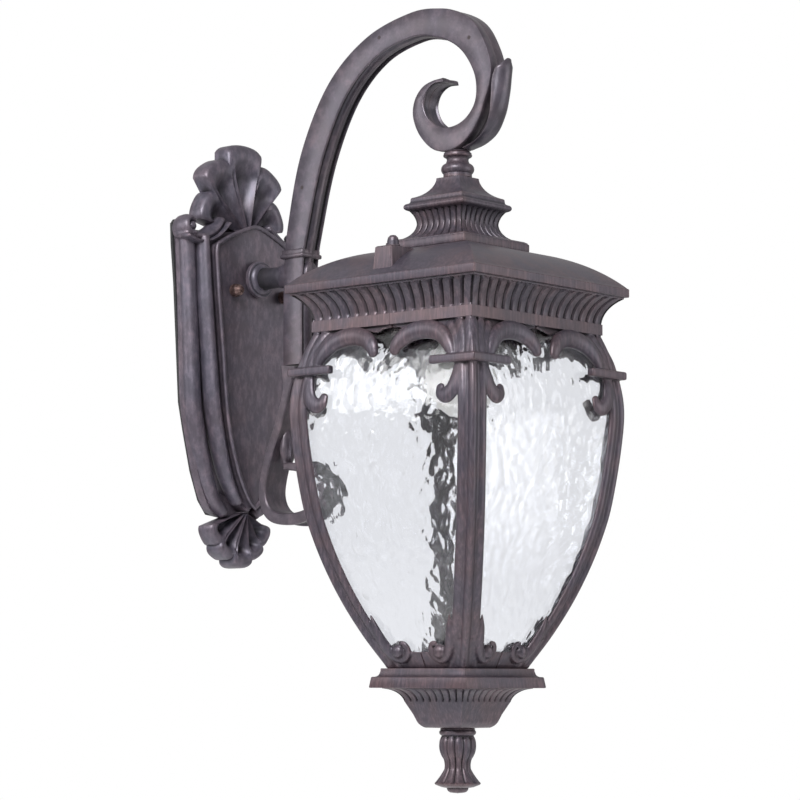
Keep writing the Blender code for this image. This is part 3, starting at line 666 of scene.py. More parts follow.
@dataclass(frozen=True)
class PlainMetal(Finish):
    """Bare or plated metal with fine marks."""

    colour: tuple[int, int, int] = (150, 148, 144)
    rough: float = 0.3
    marks: float = 60.0

    def build(self) -> bpy.types.Material:
        """Makes the material."""
        paint = Paint(self.name)
        marks = paint.noise(self.marks, 5.0, (1, 1, 6), rough=0.7)
        dull = linear(*(int(channel * 0.82) for channel in self.colour))
        colour = mixed(marks.over(0.35, 0.7), dull, linear(*self.colour))
        paint.set(Base_Color=colour, Metallic=1.0, Roughness=marks * 0.16 + (self.rough - 0.08),
                  Normal=paint.bump(paint.noise(700.0), 0.00005, 0.4))
        return paint.material


@dataclass(frozen=True)
class Matt(Finish):
    """Glazed, rubbery or woven material that isn't metal."""

    colour: tuple[int, int, int] = (236, 233, 226)
    second: tuple[int, int, int] = (214, 209, 198)
    rough: float = 0.25
    coat: float = 0.4
    scale: float = 90.0
    lift: float = 0.0001

    def build(self) -> bpy.types.Material:
        """Makes the material."""
        paint = Paint(self.name)
        marks = paint.noise(self.scale, 4.0)
        colour = mixed(marks.over(0.3, 0.7), linear(*self.colour), linear(*self.second))
        paint.set(Base_Color=colour, Roughness=marks * 0.1 + (self.rough - 0.05), Coat_Weight=self.coat,
                  Normal=paint.bump(marks, self.lift, 0.5))
        return paint.material


@dataclass(frozen=True)
class WaterGlass(Finish):
    """Clear glass with a rippled back, whose ripples catch dark and light."""

    tint: tuple[int, int, int] = (243, 244, 247)
    rough: float = 0.05

    def build(self) -> bpy.types.Material:
        """Makes the material."""
        paint = Paint(self.name)
        ripple = paint.noise(80.0, 1.5, warp=0.4) * 0.5 + paint.cells(95.0) * 0.6
        paint.set(Base_Color=linear(*self.tint), Roughness=self.rough, IOR=1.45, Transmission_Weight=1.0,
                  Normal=paint.bump(ripple, 0.0010, 0.55))
        return paint.material


@dataclass(frozen=True)
class Frosted(Finish):
    """White opal glass."""

    colour: tuple[int, int, int] = (244, 243, 238)

    def build(self) -> bpy.types.Material:
        """Makes the material."""
        paint = Paint(self.name)
        marks = paint.noise(60.0, 3.0)
        paint.set(Base_Color=mixed(marks.over(0.3, 0.7), linear(*self.colour), linear(238, 236, 230)),
                  Roughness=marks * 0.1 + 0.24, Subsurface_Weight=0.25, Subsurface_Radius=(0.01, 0.01, 0.01))
        return paint.material


CAST = BrushedBronze("cast_bronze")
ARM = BrushedBronze("brushed_arm_bronze", cool=(72, 68, 78), warm=(88, 76, 80), streak=(5.0, 2.2, 2.2),
                    warmth=0.3, rough=0.34)
PLATE = BrushedBronze("plate_bronze", cool=(82, 79, 91), warm=(96, 82, 88), warmth=0.25, rough=0.42,
                      streak=(5.0, 5.0, 2.4))
SHADED = BrushedBronze("shaded_bronze", cool=(46, 41, 46), warm=(60, 48, 47), rough=0.5)
NUT = BrushedBronze("nut_bronze", cool=(104, 86, 84), warm=(122, 98, 92), dark=(40, 32, 32), rough=0.3,
                    metal=0.8)
STEEL = PlainMetal("zinc_steel")
BRASS = PlainMetal("lamp_brass", colour=(196, 160, 96), rough=0.24)
PORCELAIN = Matt("glazed_porcelain")
FOAM = Matt("black_foam", colour=(28, 28, 29), second=(38, 38, 40), rough=0.85, coat=0.0, scale=900.0,
            lift=0.0004)
SLEEVE = Matt("wire_sleeve", colour=(30, 30, 31), second=(44, 44, 46), rough=0.6, coat=0.0, scale=500.0)
GLASS = WaterGlass("hammered_glass")
OPAL = Frosted("opal_glass")


# ------------------------------------------------------------------ roof and what stands on it


@dataclass
class Roof:
    """The hipped cap, its tongued cornice and the two bosses that the roof screws stand on."""

    tongues: int = 17
    flute: float = 3.2
    screw_x: float = 90.0
    boss_front: float = 104.5
    boss_half: float = 10.0

    def build(self) -> None:
        """Makes the cap, the crown and the collar."""
        half = ROOF_HIGH.x
        top = span("crown")[0].z - 0.5
        foot = ROOF_LOW.z
        fascia = foot + 26.5
        self.cap(half, top, fascia, foot)
        self.crown()
        self.collar()

    def cap(self, half: float, top: float, fascia: float, foot: float) -> None:
        """The roof casting.

        Args:
            half: Half width of the fascia.
            top: Height of the flat under the crown.
            fascia: Height of the fascia's lower edge.
            foot: Height of the cornice's foot.
        """
        edge = fascia + 8.0
        outline = (Moulding(0.0, top).to(47.0, top)
                   .arc(half - 1.0, edge + 0.2, 6.2, 20).arc(half, edge - 1.6, 0.5, 3)
                   .to(half, fascia + 0.8).arc(half - 0.8, fascia, 0.25, 2)
                   .to(half - 3.4, fascia).to(half - 3.6, fascia - 1.6)
                   .arc(93.6, foot + 1.2, -3.4, 16, self.flute)
                   .to(93.2, foot + 0.9).to(93.0, foot).to(86.4, foot)
                   .to(86.4, foot + 2.0).to(half - 12.0, fascia + 1.0)
                   .to(half - 18.0, edge - 1.0).to(50.0, top - 7.0).to(0.0, top - 4.0))
        bm = square_turning(outline, self.tongues, 10)
        for side in (-1, 1):
            add(bm, self.boss(side, top, edge))
        publish("roof_cap", bm, CAST, Body.WALL, Slot.BRONZE, ["roof"], 32)

    def boss(self, side: int, top: float, edge: float) -> bmesh.types.BMesh:
        """A flat-topped block that grows out of the slope at the middle of a side."""
        level = top - 5.9
        bm = bmesh.new()
        inner, outer = self.screw_x - 17.0, self.boss_front - 0.6
        rows = ((level, inner, outer - 1.0, self.boss_half - 1.0),
                (level - 1.0, inner - 3, outer, self.boss_half),
                (edge + 5.0, inner - 3, outer + 1.2, self.boss_half + 1.4),
                (edge - 1.5, inner - 3, outer + 3.6, self.boss_half + 6.0))
        rings = []
        for height, near, far, half in rows:
            cut = far - 1.2
            ring = [(near, -half), (near, half), (cut, half), (far, half - 1.2), (far, 1.2 - half),
                    (cut, -half)]
            rings.append([bm.verts.new((side * x, AXIS_Y + y, height)) for x, y in ring])
        for upper, lower in zip(rings, rings[1:]):
            for i in range(6):
                bm.faces.new((upper[i], upper[(i + 1) % 6], lower[(i + 1) % 6], lower[i]))
        bm.faces.new(rings[0])
        bm.faces.new(rings[-1])
        bmesh.ops.recalc_face_normals(bm, faces=bm.faces)
        return bm

    def crown(self) -> None:
        """The fluted foot and the concave spire that carry the arm's collar."""
        low, high = span("crown")
        foot, peak = low.z + 0.05, high.z - 0.1
        base = high.x - 0.1
        outline = (Moulding(0.0, peak).to(13.4, peak).arc(13.9, peak - 0.6, 0.2, 2).to(14.0, peak - 2.2)
                   .arc(29.8, peak - 18.8, -3.2, 12).to(30.6, peak - 19.6).to(30.8, peak - 21.6)
                   .arc(32.8, peak - 24.4, -0.7, 4).arc(32.8, peak - 30.8, 2.6, 9).to(31.4, peak - 31.4)
                   .arc(26.6, peak - 43.0, -1.0, 8, 2.2).arc(base - 3.4, foot + 9.6, -4.6, 14, 2.2)
                   .to(base - 1.0, foot + 8.2).to(base - 0.9, foot + 7.4).arc(base, foot + 6.4, 0.3, 2)
                   .to(base, foot + 1.0).arc(base - 1.0, foot, 0.3, 2).to(0.0, foot))
        publish("crown_casting", square_turning(outline, 8, 14), CAST, Body.WALL, Slot.BRONZE, ["crown"], 32)

    def collar(self) -> None:
        """The turned collar between the crown and the arm."""
        low, high = span("arm_collar")
        foot, top = low.z + 0.02, high.z - 0.02
        outline = (Moulding(5.2, top).to(11.6, top).arc(12.9, top - 1.6, 0.5, 3).arc(11.6, top - 4.4, 1.1, 4)
                   .arc(10.4, top - 8.6, -0.9, 5).arc(12.8, top - 11.2, -0.5, 4)
                   .arc(13.2, foot + 3.4, 2.3, 12).to(13.2, foot).to(5.2, foot).to(5.2, top))
        publish("collar_turning", self.centred(round_turning(outline, 72)), CAST, Body.WALL, Slot.BRONZE,
                ["arm_collar"])

    @staticmethod
    def centred(bm: bmesh.types.BMesh) -> bmesh.types.BMesh:
        """Moves a turning from the origin to the lantern's axis."""
        bmesh.ops.translate(bm, vec=AXIS, verts=bm.verts)
        return bm


# ------------------------------------------------------------------ cage


CAGE_TOP = span("corner_back_right")[1].z
CAGE_FOOT = span("corner_back_right")[0].z
CAGE_HEIGHT = CAGE_TOP - CAGE_FOOT
POST_KNOTS = ((0.0, 89.5), (0.06, 97.9), (0.117, 103.5), (0.227, 108.5), (0.35, 106.7), (0.515, 100.5),
              (0.61, 94.5), (0.71, 85.7), (0.81, 74.5), (0.907, 61.0), (1.0, 45.5))
POST_LINE = smooth(POST_KNOTS, 8)
SEAM = 0.15
WALL = 3.7
POST_TOP = 2.0


def post_half(depth: float) -> float:
    """The cage's outer half width at a depth below its top."""
    share = min(max(depth / CAGE_HEIGHT, 0.0), 1.0)
    for near, far in zip(POST_LINE, POST_LINE[1:]):
        if share <= far.x:
            return near.y + (far.y - near.y) * (share - near.x) / max(far.x - near.x, 1e-9)
    return POST_LINE[-1].y


def on_face(x: float, depth: float, proud: float = 0.0) -> Vector:
    """A point of the +Y face, in the corner's own axes: across from the seam, down, and outwards."""
    return Vector((x, post_half(depth) + proud, -depth))


def relief(knots: Sequence[tuple[float, float, float]], flat: float = 0.8, steps: int = 7,
           sides: int = 16) -> bmesh.types.BMesh:
    """A rod that lies on the +Y face with its back level with the casting's.

    Args:
        knots: Across, depth and radius.
        flat: Its thickness as a share of its width.
        steps: Points per stretch.
        sides: Facets round it.

    Returns:
        The closed rod.
    """
    line = smooth(knots, steps)
    path = [on_face(p.x, p.y, flat * p.z - WALL) for p in line]
    return tube(path, [p.z for p in line], [Vector((0.0, 1.0, 0.0))] * len(path), flat, sides)


def cage_quarter(quarter: int) -> Matrix:
    """Moves what is drawn below the origin to the cage's top, turned by quarter turns."""
    return Matrix.Translation(AXIS + Vector((0, 0, CAGE_TOP))) @ Matrix.Rotation(quarter * math.pi / 2, 4, "Z")


@dataclass
class Corners:
    """The four corner castings: post, ledge, leaf brackets, clasp, curls and apron."""

    voxel: float = 0.85
    post_width: float = 19.5
    clasp: float = 110.6

    def build(self) -> None:
        """Makes one casting and turns it into all four."""
        half = bmesh.new()
        for shell in (self.ledge(), self.web(), *self.ribs(), self.horn(), self.clasp_bar(), self.curl(),
                      self.apron(), self.flange(), *self.volute()):
            add(half, shell)
        whole = bmesh.new()
        mesh = bpy.data.meshes.new("half")
        half.to_mesh(mesh)
        half.free()
        whole.from_mesh(mesh)
        mesh.transform(Matrix(((0, 1, 0, 0), (1, 0, 0, 0), (0, 0, 1, 0), (0, 0, 0, 1))))
        mesh.flip_normals()
        whole.from_mesh(mesh)
        bpy.data.meshes.remove(mesh)
        add(whole, self.post())
        casting = fused(whole, self.voxel * (1.0), 2)
        for quarter, name in enumerate(("back_right", "back_left", "front_left", "front_right")):
            copy = casting.copy()
            add(copy, self.lip())
            turn = cage_quarter(quarter)
            bmesh.ops.transform(copy, matrix=turn, verts=copy.verts)
            publish(f"casting_{name}", copy, CAST, Body.CAGE, Slot.BRONZE, [f"corner_{name}"], 60)
        casting.free()

    def post(self) -> bmesh.types.BMesh:
        """The post: a beaded corner, a hollow band and an outer bead on each face."""
        width = self.post_width
        face = [(width, -WALL), (width, -2.3), (width - 0.8, -0.9), (width - 2.4, 0.3), (width - 4.4, 0.7),
                (width - 6.4, 0.4), (width - 8.0, -0.5), (width - 8.8, -1.7), (9.3, -1.9), (7.8, -1.9),
                (6.6, -1.8), (5.9, -0.9), (4.9, -0.2), (3.4, 0.25), (1.8, 0.35), (0.7, 0.1)]
        section = [(-s, out) for s, out in face] + [(out, -s) for s, out in reversed(face)] + [(-WALL, -WALL)]
        rows = 90
        start, end = POST_TOP, CAGE_HEIGHT + 0.4

        def place(u: float, v: float) -> Vector:
            """The point at a pair of shares."""
            depth = start + (end - start) * v
            half = post_half(depth)
            x, y = section[round(u * len(section)) % len(section)]
            return Vector((half + x, half + y, -depth))

        return close(grid(len(section), rows, place))

    @staticmethod
    def ledge() -> bmesh.types.BMesh:
        """Half of the thin ledge, with a notch for a roof screw."""
        outline = [Vector(p) for p in ((SEAM, 93.8), (93.8, 93.8), (84.7, 84.7), (SEAM, 84.7), (SEAM, 87.4))]
        outline += [Vector((2.6 * math.cos(a), 90 + 2.6 * math.sin(a))) for a in (-1.1, -0.5, 0.0, 0.5, 1.1)]
        outline.append(Vector((SEAM, 92.6)))
        return extruded(outline, lambda p, h: Vector((p.x, p.y, -h)), 0.0, 5.0)

    @staticmethod
    def lip() -> bmesh.types.BMesh:
        """The ledge's upstanding edge, which closes the gap under the cornice."""
        inner, outer = 93.4, 94.4
        outline = [Vector(p) for p in ((SEAM, outer), (outer, outer), (outer, SEAM), (inner, SEAM),
                                       (inner, inner), (SEAM, inner))]
        return extruded(outline, lambda p, h: Vector((p.x, p.y, -h)), -5.2, 4.6)

    @staticmethod
    def web() -> bmesh.types.BMesh:
        """The thin wall under the ledge, deeper towards the post."""
        lower = smooth([(SEAM, 7.5), (9, 8), (17, 11), (30, 8.5), (50, 11), (66, 20), (76, 34), (82, 46)], 5)

        corners = ((4.0, -1.2), (None, -1.2), (None, -WALL), (4.0, -WALL))

        def cell(u: float, v: float) -> Vector:
            """The point at a pair of shares."""
            x, depth = along(lower, u)
            down, out = corners[round(v * 4) % 4]
            return on_face(x, depth if down is None else down, out)

        return close(grid(48, 4, cell))

    @staticmethod
    def ribs() -> list[bmesh.types.BMesh]:
        """Three ribs that fan up from the clasp to the ledge."""
        fans = (((97.0, 40), (95.0, 25), (89.5, 8.5)), ((91.4, 40), (88.0, 25), (80.0, 9.0)),
                ((86.4, 40), (81.0, 26), (70.0, 10.5)))
        return [relief([(*foot, 2.9), (*middle, 3.7), (*top, 4.6)], 0.62) for foot, middle, top in fans]

    @staticmethod
    def horn() -> bmesh.types.BMesh:
        """The thick leaf that arches over the glass and droops beside the seam."""
        return relief(((80, 40, 4.0), (74.5, 29, 6.2), (64, 18.5, 7.8), (50, 13.6, 8.4), (36, 13.4, 8.4),
                       (23, 17.4, 8.0), (15.2, 24.4, 7.0), (12.4, 30, 5.4)), 0.66, 8, 20)

    def clasp_bar(self) -> bmesh.types.BMesh:
        """The bar that ties the leaves to the post; two of them meet square at the corner."""
        start, end = 58.5, self.clasp
        return block((end - start, 7.2, 7.6), ((start + end) / 2, end - 3.6, -42.0), 1.7, 3)

    @staticmethod
    def curl() -> bmesh.types.BMesh:
        """The hooked curl under the clasp."""
        shell = relief(((88.5, 44, 5.0), (87.6, 56, 6.4), (84.4, 67, 7.2), (77.4, 73.6, 7.2),
                        (70.6, 72.0, 6.2), (68.4, 66.4, 4.6)), 0.48, 7, 18)
        bmesh.ops.translate(shell, vec=Vector((0, -1.3, 0)), verts=shell.verts)
        return shell

    def apron(self) -> bmesh.types.BMesh:
        """The low wall between the posts' feet, with a scalloped upper edge."""
        upper = smooth([(0.0, 14.0), (0.25, 14.6), (0.5, 17.0), (0.75, 22.0), (1.0, 26.0)], 5)
        corners = ((None, -1.0), (-0.4, -1.0), (-0.4, -WALL), (None, -WALL))

        def cell(u: float, v: float) -> Vector:
            """The point at a pair of shares."""
            up, out = corners[round(v * 4) % 4]
            depth = CAGE_HEIGHT - (along(upper, u).y if up is None else up)
            return on_face(SEAM + u * (post_half(depth) - 4.0), depth, out)

        return close(grid(30, 4, cell))

    @staticmethod
    def flange() -> bmesh.types.BMesh:
        """Half of the foot flange that the glass stands on."""
        half = post_half(CAGE_HEIGHT)
        inner = half - WALL - 8.0
        cut = half - 1.2
        outline = [Vector(p) for p in ((SEAM, cut), (cut, cut), (inner, inner), (SEAM, inner))]
        return extruded(outline, lambda p, h: Vector((p.x, p.y, -h)), CAGE_HEIGHT - 10.0, CAGE_HEIGHT + 0.4)

    @staticmethod
    def volute() -> list[bmesh.types.BMesh]:
        """The curl in which the post's outer moulding ends, round a small ball."""
        middle, depth = 24.2, 294.0
        knots = ((46.0, 262.0, 0.8), (43.6, 272.0, 3.4), (40.6, 282.0, 4.6), (36.4, 291.0, 5.0),
                 (30.6, 297.8, 4.9), (23.6, 300.4, 4.5), (17.0, 298.2, 3.9), (13.8, 292.6, 3.2),
                 (16.2, 287.6, 2.5), (20.6, 286.6, 1.9))
        ball = bmesh.new()
        bmesh.ops.create_uvsphere(ball, u_segments=20, v_segments=12, radius=6.3)
        bmesh.ops.scale(ball, vec=Vector((1.0, 0.8, 1.0)), verts=ball.verts)
        bmesh.ops.translate(ball, vec=on_face(middle, depth, 0.2), verts=ball.verts)
        return [relief(knots, 0.72, 5, 14), ball]


@dataclass
class Panes:
    """The four bent panes of hammered glass."""

    thick: float = 3.0
    cell: float = 13.0
    relief: float = 0.75
    seed: int = 31

    def build(self) -> None:
        """Makes each side's pane with its own ripples."""
        noise.seed_set(self.seed)
        top, foot = 6.8, CAGE_HEIGHT - 11.4
        columns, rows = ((70, 110))
        for index, name in enumerate(("back", "left", "front", "right")):
            shift = Vector((31.0 * index, 17.0 * index, 0.0))

            def place(u: float, v: float, inner: bool, shift: Vector = shift) -> Vector:
                """The point at a pair of shares."""
                depth = top + (foot - top) * v
                outer = post_half(depth) - WALL - 0.6
                x = (2 * u - 1) * (outer - 5.0)
                if inner:
                    return Vector((x, outer - self.thick, -depth))
                edge = min(1.0, 12 * min(u, 1 - u, v, 1 - v))
                return Vector((x, outer - self.hammer(Vector((x, depth, 0.0)) + shift) * edge, -depth))

            bm = grid(columns, rows, lambda u, v: place(u, v, False))
            add(bm, grid(columns, rows, lambda u, v: place(u, v, True)))
            rims = [edge for edge in bm.edges if edge.is_boundary]
            bmesh.ops.bridge_loops(bm, edges=rims)
            bmesh.ops.recalc_face_normals(bm, faces=bm.faces)
            turn = cage_quarter(index)
            bmesh.ops.transform(bm, matrix=turn, verts=bm.verts)
            publish(f"pane_{name}", bm, GLASS, Body.CAGE, Slot.GLASS, [f"glass_{name}"], 60)

    def hammer(self, point: Vector) -> float:
        """How deep the hammered face lies at a place, from 0 to its relief."""
        warp = noise.noise_vector(point / 19.0) * 6.0
        near = noise.voronoi((point + warp) / self.cell)[0]
        gap = min(1.0, (near[1] - near[0]) * 2.2)
        swell = noise.noise(point / 31.0) * 0.3
        return self.relief * min(1.0, max(0.0, 0.75 * (1 - gap) ** 1.5 + 0.25 * near[0] + swell * 0.4 + 0.1))


@dataclass
class Foot:
    """The tray, the fluted cup and the finial under the cage."""

    def build(self) -> None:
        """Makes the three pieces."""
        self.tray()
        self.cup()
        self.finial()

    @staticmethod
    def tray() -> None:
        """The square tray: a slab, a hollow moulding and a fascia."""
        low, high = span("tray")
        top, foot, half = high.z - 0.05, low.z + 0.05, high.x - 0.05
        outline = (Moulding(3.4, top).to(48.6, top).arc(49.4, top - 0.8, 0.3, 2).to(49.4, top - 2.4)
                   .to(50.2, top - 5.2).arc(half - 2.6, top - 7.6, -0.8, 5).arc(half - 1.2, top - 9.0, 0.5, 3)
                   .to(half, foot + 0.9).arc(half - 0.9, foot, 0.3, 2).to(53.0, foot).to(53.0, foot + 7.2)
                   .to(46.9, top - 4.0).to(3.4, top - 4.0).to(3.4, top))
        publish("tray_casting", square_turning(outline, 0, 10), CAST, Body.CAGE, Slot.BRONZE, ["tray"], 32)

    @staticmethod
    def cup() -> None:
        """The fluted square bell."""
        low, high = span("cup")
        top, foot, rim = high.z - 0.05, low.z + 0.05, high.x - 0.05
        outline = (Moulding(3.4, top - 3.0).to(41.5, top - 3.0).to(44.8, top).arc(rim, top - 4.6, 0.6, 3)
                   .to(rim, top - 13.7).to(46.5, top - 14.1).arc(34.0, top - 25.5, -2.6, 9, 1.8)
                   .to(28.4, top - 37.0).to(26.4, top - 42.4).arc(20.7, foot, 0.9, 5)
                   .to(3.4, foot).to(3.4, top - 3.0))
        publish("cup_casting", square_turning(outline, 9, 12), CAST, Body.CAGE, Slot.BRONZE, ["cup"], 32)

    @staticmethod
    def finial() -> None:
        """The turned finial: a collar ring, a fluted bulb, a neck and a fluted flare."""
        low, high = span("finial")
        top, foot = high.z - 0.05, low.z + 0.05
        outline = (Moulding(3.4, top).to(15.0, top).arc(15.4, top - 1.6, 0.7, 3).arc(15.4, top - 6.0, 1.3, 5)
                   .to(14.4, top - 6.8).arc(16.6, top - 13.6, 0.5, 6, 1.5).arc(12.8, top - 27.5, 1.4, 9, 1.5)
                   .arc(12.0, top - 36.5, -0.6, 7, 1.5).arc(20.9, top - 49.2, -0.5, 9, 1.5)
                   .to(20.2, top - 50.4).to(14.6, top - 52.6).to(9.8, top - 53.4)
                   .arc(5.5, foot + 0.6, 1.2, 6).to(0.0, foot).to(0.0, top - 15.0)
                   .to(3.4, top - 15.0).to(3.4, top))
        bm = round_turning(outline, 120, 12)
        bmesh.ops.translate(bm, vec=AXIS, verts=bm.verts)
        publish("finial_turning", bm, CAST, Body.FINIAL, Slot.BRONZE, ["finial"], 45)


# ------------------------------------------------------------------ arm


BAR_Y = AXIS_Y + 197.0
HUB_Z = 14.0
ARM_FOOT = 109.0
ARM_HALF = 11.5
ARM_EDGES = (((209.2, -183), (184.8, -183)), ((209.2, -95), (184.8, -95)), ((203.3, -42.1), (176.7, -47.9)),
             ((186, 24.5), (159, 13.5)), ((151.6, 84.6), (130.4, 67.4)), ((103.6, 121.6), (92.4, 100.4)),
             ((48.8, 136.9), (47.2, 113.1)), ((12, 135.3), (19.5, 109.6)), ((-12, 127.6), (1.0, 102.4)),
             ((-29.8, 114.4), (-12.4, 92.8)), ((-42.4, 93.2), (-22.2, 80.4)), ((-48.4, 74.0), (-28.9, 66.6)),
             ((-46.8, 57.0), (-30.8, 53.0)),
             ((-40.3, 40.0), (-28.7, 41.0)), ((-33.9, 25.2), (-21.3, 31.0)), ((-20.0, 9.0), (-10.7, 24.6)),
             ((-1.0, 0.6), (2.1, 22.4)), ((20.0, 3.6), (15.1, 25.2)), ((37.0, 18.8), (26.4, 33.8)),
             ((45.2, 37.0), (32.2, 46.2)), ((43.6, 52.0), (30.2, 56.4)), ((35.0, 63.2), (24.8, 62.6)),
             ((23.0, 68.2), (17.5, 65.8)), ((9.0, 69.6), (8.2, 65.6)))
PLAIN_KNOT = 12
CHEEK = ARM_HALF - 0.15
LOWER_KNOTS = ((199, -184.6, 9.5), (201.5, -207, 5), (211, -237, 4.5), (226, -273, 4.5), (233, -306, 4.5),
               (222, -326.6, 5.2), (195, -331.4, 5.6), (170, -325.6, 5.4), (158.5, -309, 4.8),
               (162.5, -295, 4.2), (176, -285.4, 4),
               (192, -281.6, 3.8), (204, -281, 3.2))


def strap(knots: Sequence[tuple[float, float, float]], section: Callable[[float], list[tuple[float, float]]],
          steps: int) -> bmesh.types.BMesh:
    """A strap along a path in the plane of the arm.

    Args:
        knots: Distance from the lantern's axis, height above the arm's foot and half width.
        section: For a half width, the points (across, aside) of the closed section.
        steps: Points per stretch of the path.

    Returns:
        The closed strap.
    """
    line = smooth(knots, steps)
    count = len(line)
    rings = []
    for i, point in enumerate(line):
        run = (line[min(i + 1, count - 1)].xy - line[max(i - 1, 0)].xy).normalized()
        aside = Vector((-run.y, run.x))
        rings.append([(x, point.x + aside.x * n, point.y + aside.y * n) for x, n in section(point.z)])
    sides = len(rings[0])

    def place(u: float, v: float) -> Vector:
        """The point at a pair of shares."""
        x, y, z = rings[round(v * (count - 1))][round(u * sides) % sides]
        return Vector((x, AXIS_Y + y, ARM_FOOT + z))

    return close(grid(sides, count - 1, place))


def channelled(edges: Sequence[tuple[Sequence[float], Sequence[float]]], side: int,
               steps: int) -> bmesh.types.BMesh:
    """Half of the arm between its outer and inner edges.

    Args:
        edges: Pairs of (distance from the axis, height above the arm's foot), outer edge first.
        side: -1 for the left half and 1 for the right one.
        steps: Points per stretch.

    Returns:
        The closed half: a flat cheek, raised rims, and a bead in a groove on the inner edge.
    """
    line = smooth([(*outer, *inner) for outer, inner in edges], steps)
    rings = []
    for index, pair in enumerate(line):
        outer, inner = Vector(pair[:2]), Vector(pair[2:])
        across = inner - outer
        half = across.length / 2
        middle, aside = (outer + inner) / 2, across.normalized()
        fade = min(1.0, max(0.0, index / steps - PLAIN_KNOT + 2.0) / 2.5)
        share = min(1.0, half / 8.0)
        rim, deep = 1.9 * share, 3.2 * share
        bead = deep * (1 - fade)
        points = [
            (SEAM, 0.6 - half), (6.0, -half), (ARM_HALF - 1.2, -half), (CHEEK - 0.3, 0.5 - half),
            (CHEEK, 1.4 - half), (CHEEK, half - 1.3 * share), (CHEEK - 0.4, half - 0.4 * share),
            (ARM_HALF - 1.1, half), (ARM_HALF - rim, half),
            (ARM_HALF - rim - 0.9, half - deep * (0.9 - 0.3 * fade)),
            (6.6, half - deep * (1.0 - 0.1 * fade)), (5.7, half - deep + bead * 0.45),
            (4.3, half - deep + bead * 0.85),
            (2.4, half - deep + bead * 1.06), (SEAM, half - deep + bead * 1.12),
        ]
        rings.append([(side * x, *(middle + aside * n)) for x, n in points])
    count, sides = len(rings), len(rings[0])

    def place(u: float, v: float) -> Vector:
        """The point at a pair of shares."""
        x, y, z = rings[round(v * (count - 1))][round(u * sides) % sides]
        return Vector((x, AXIS_Y + y, ARM_FOOT + z))

    return close(grid(sides, count - 1, place))


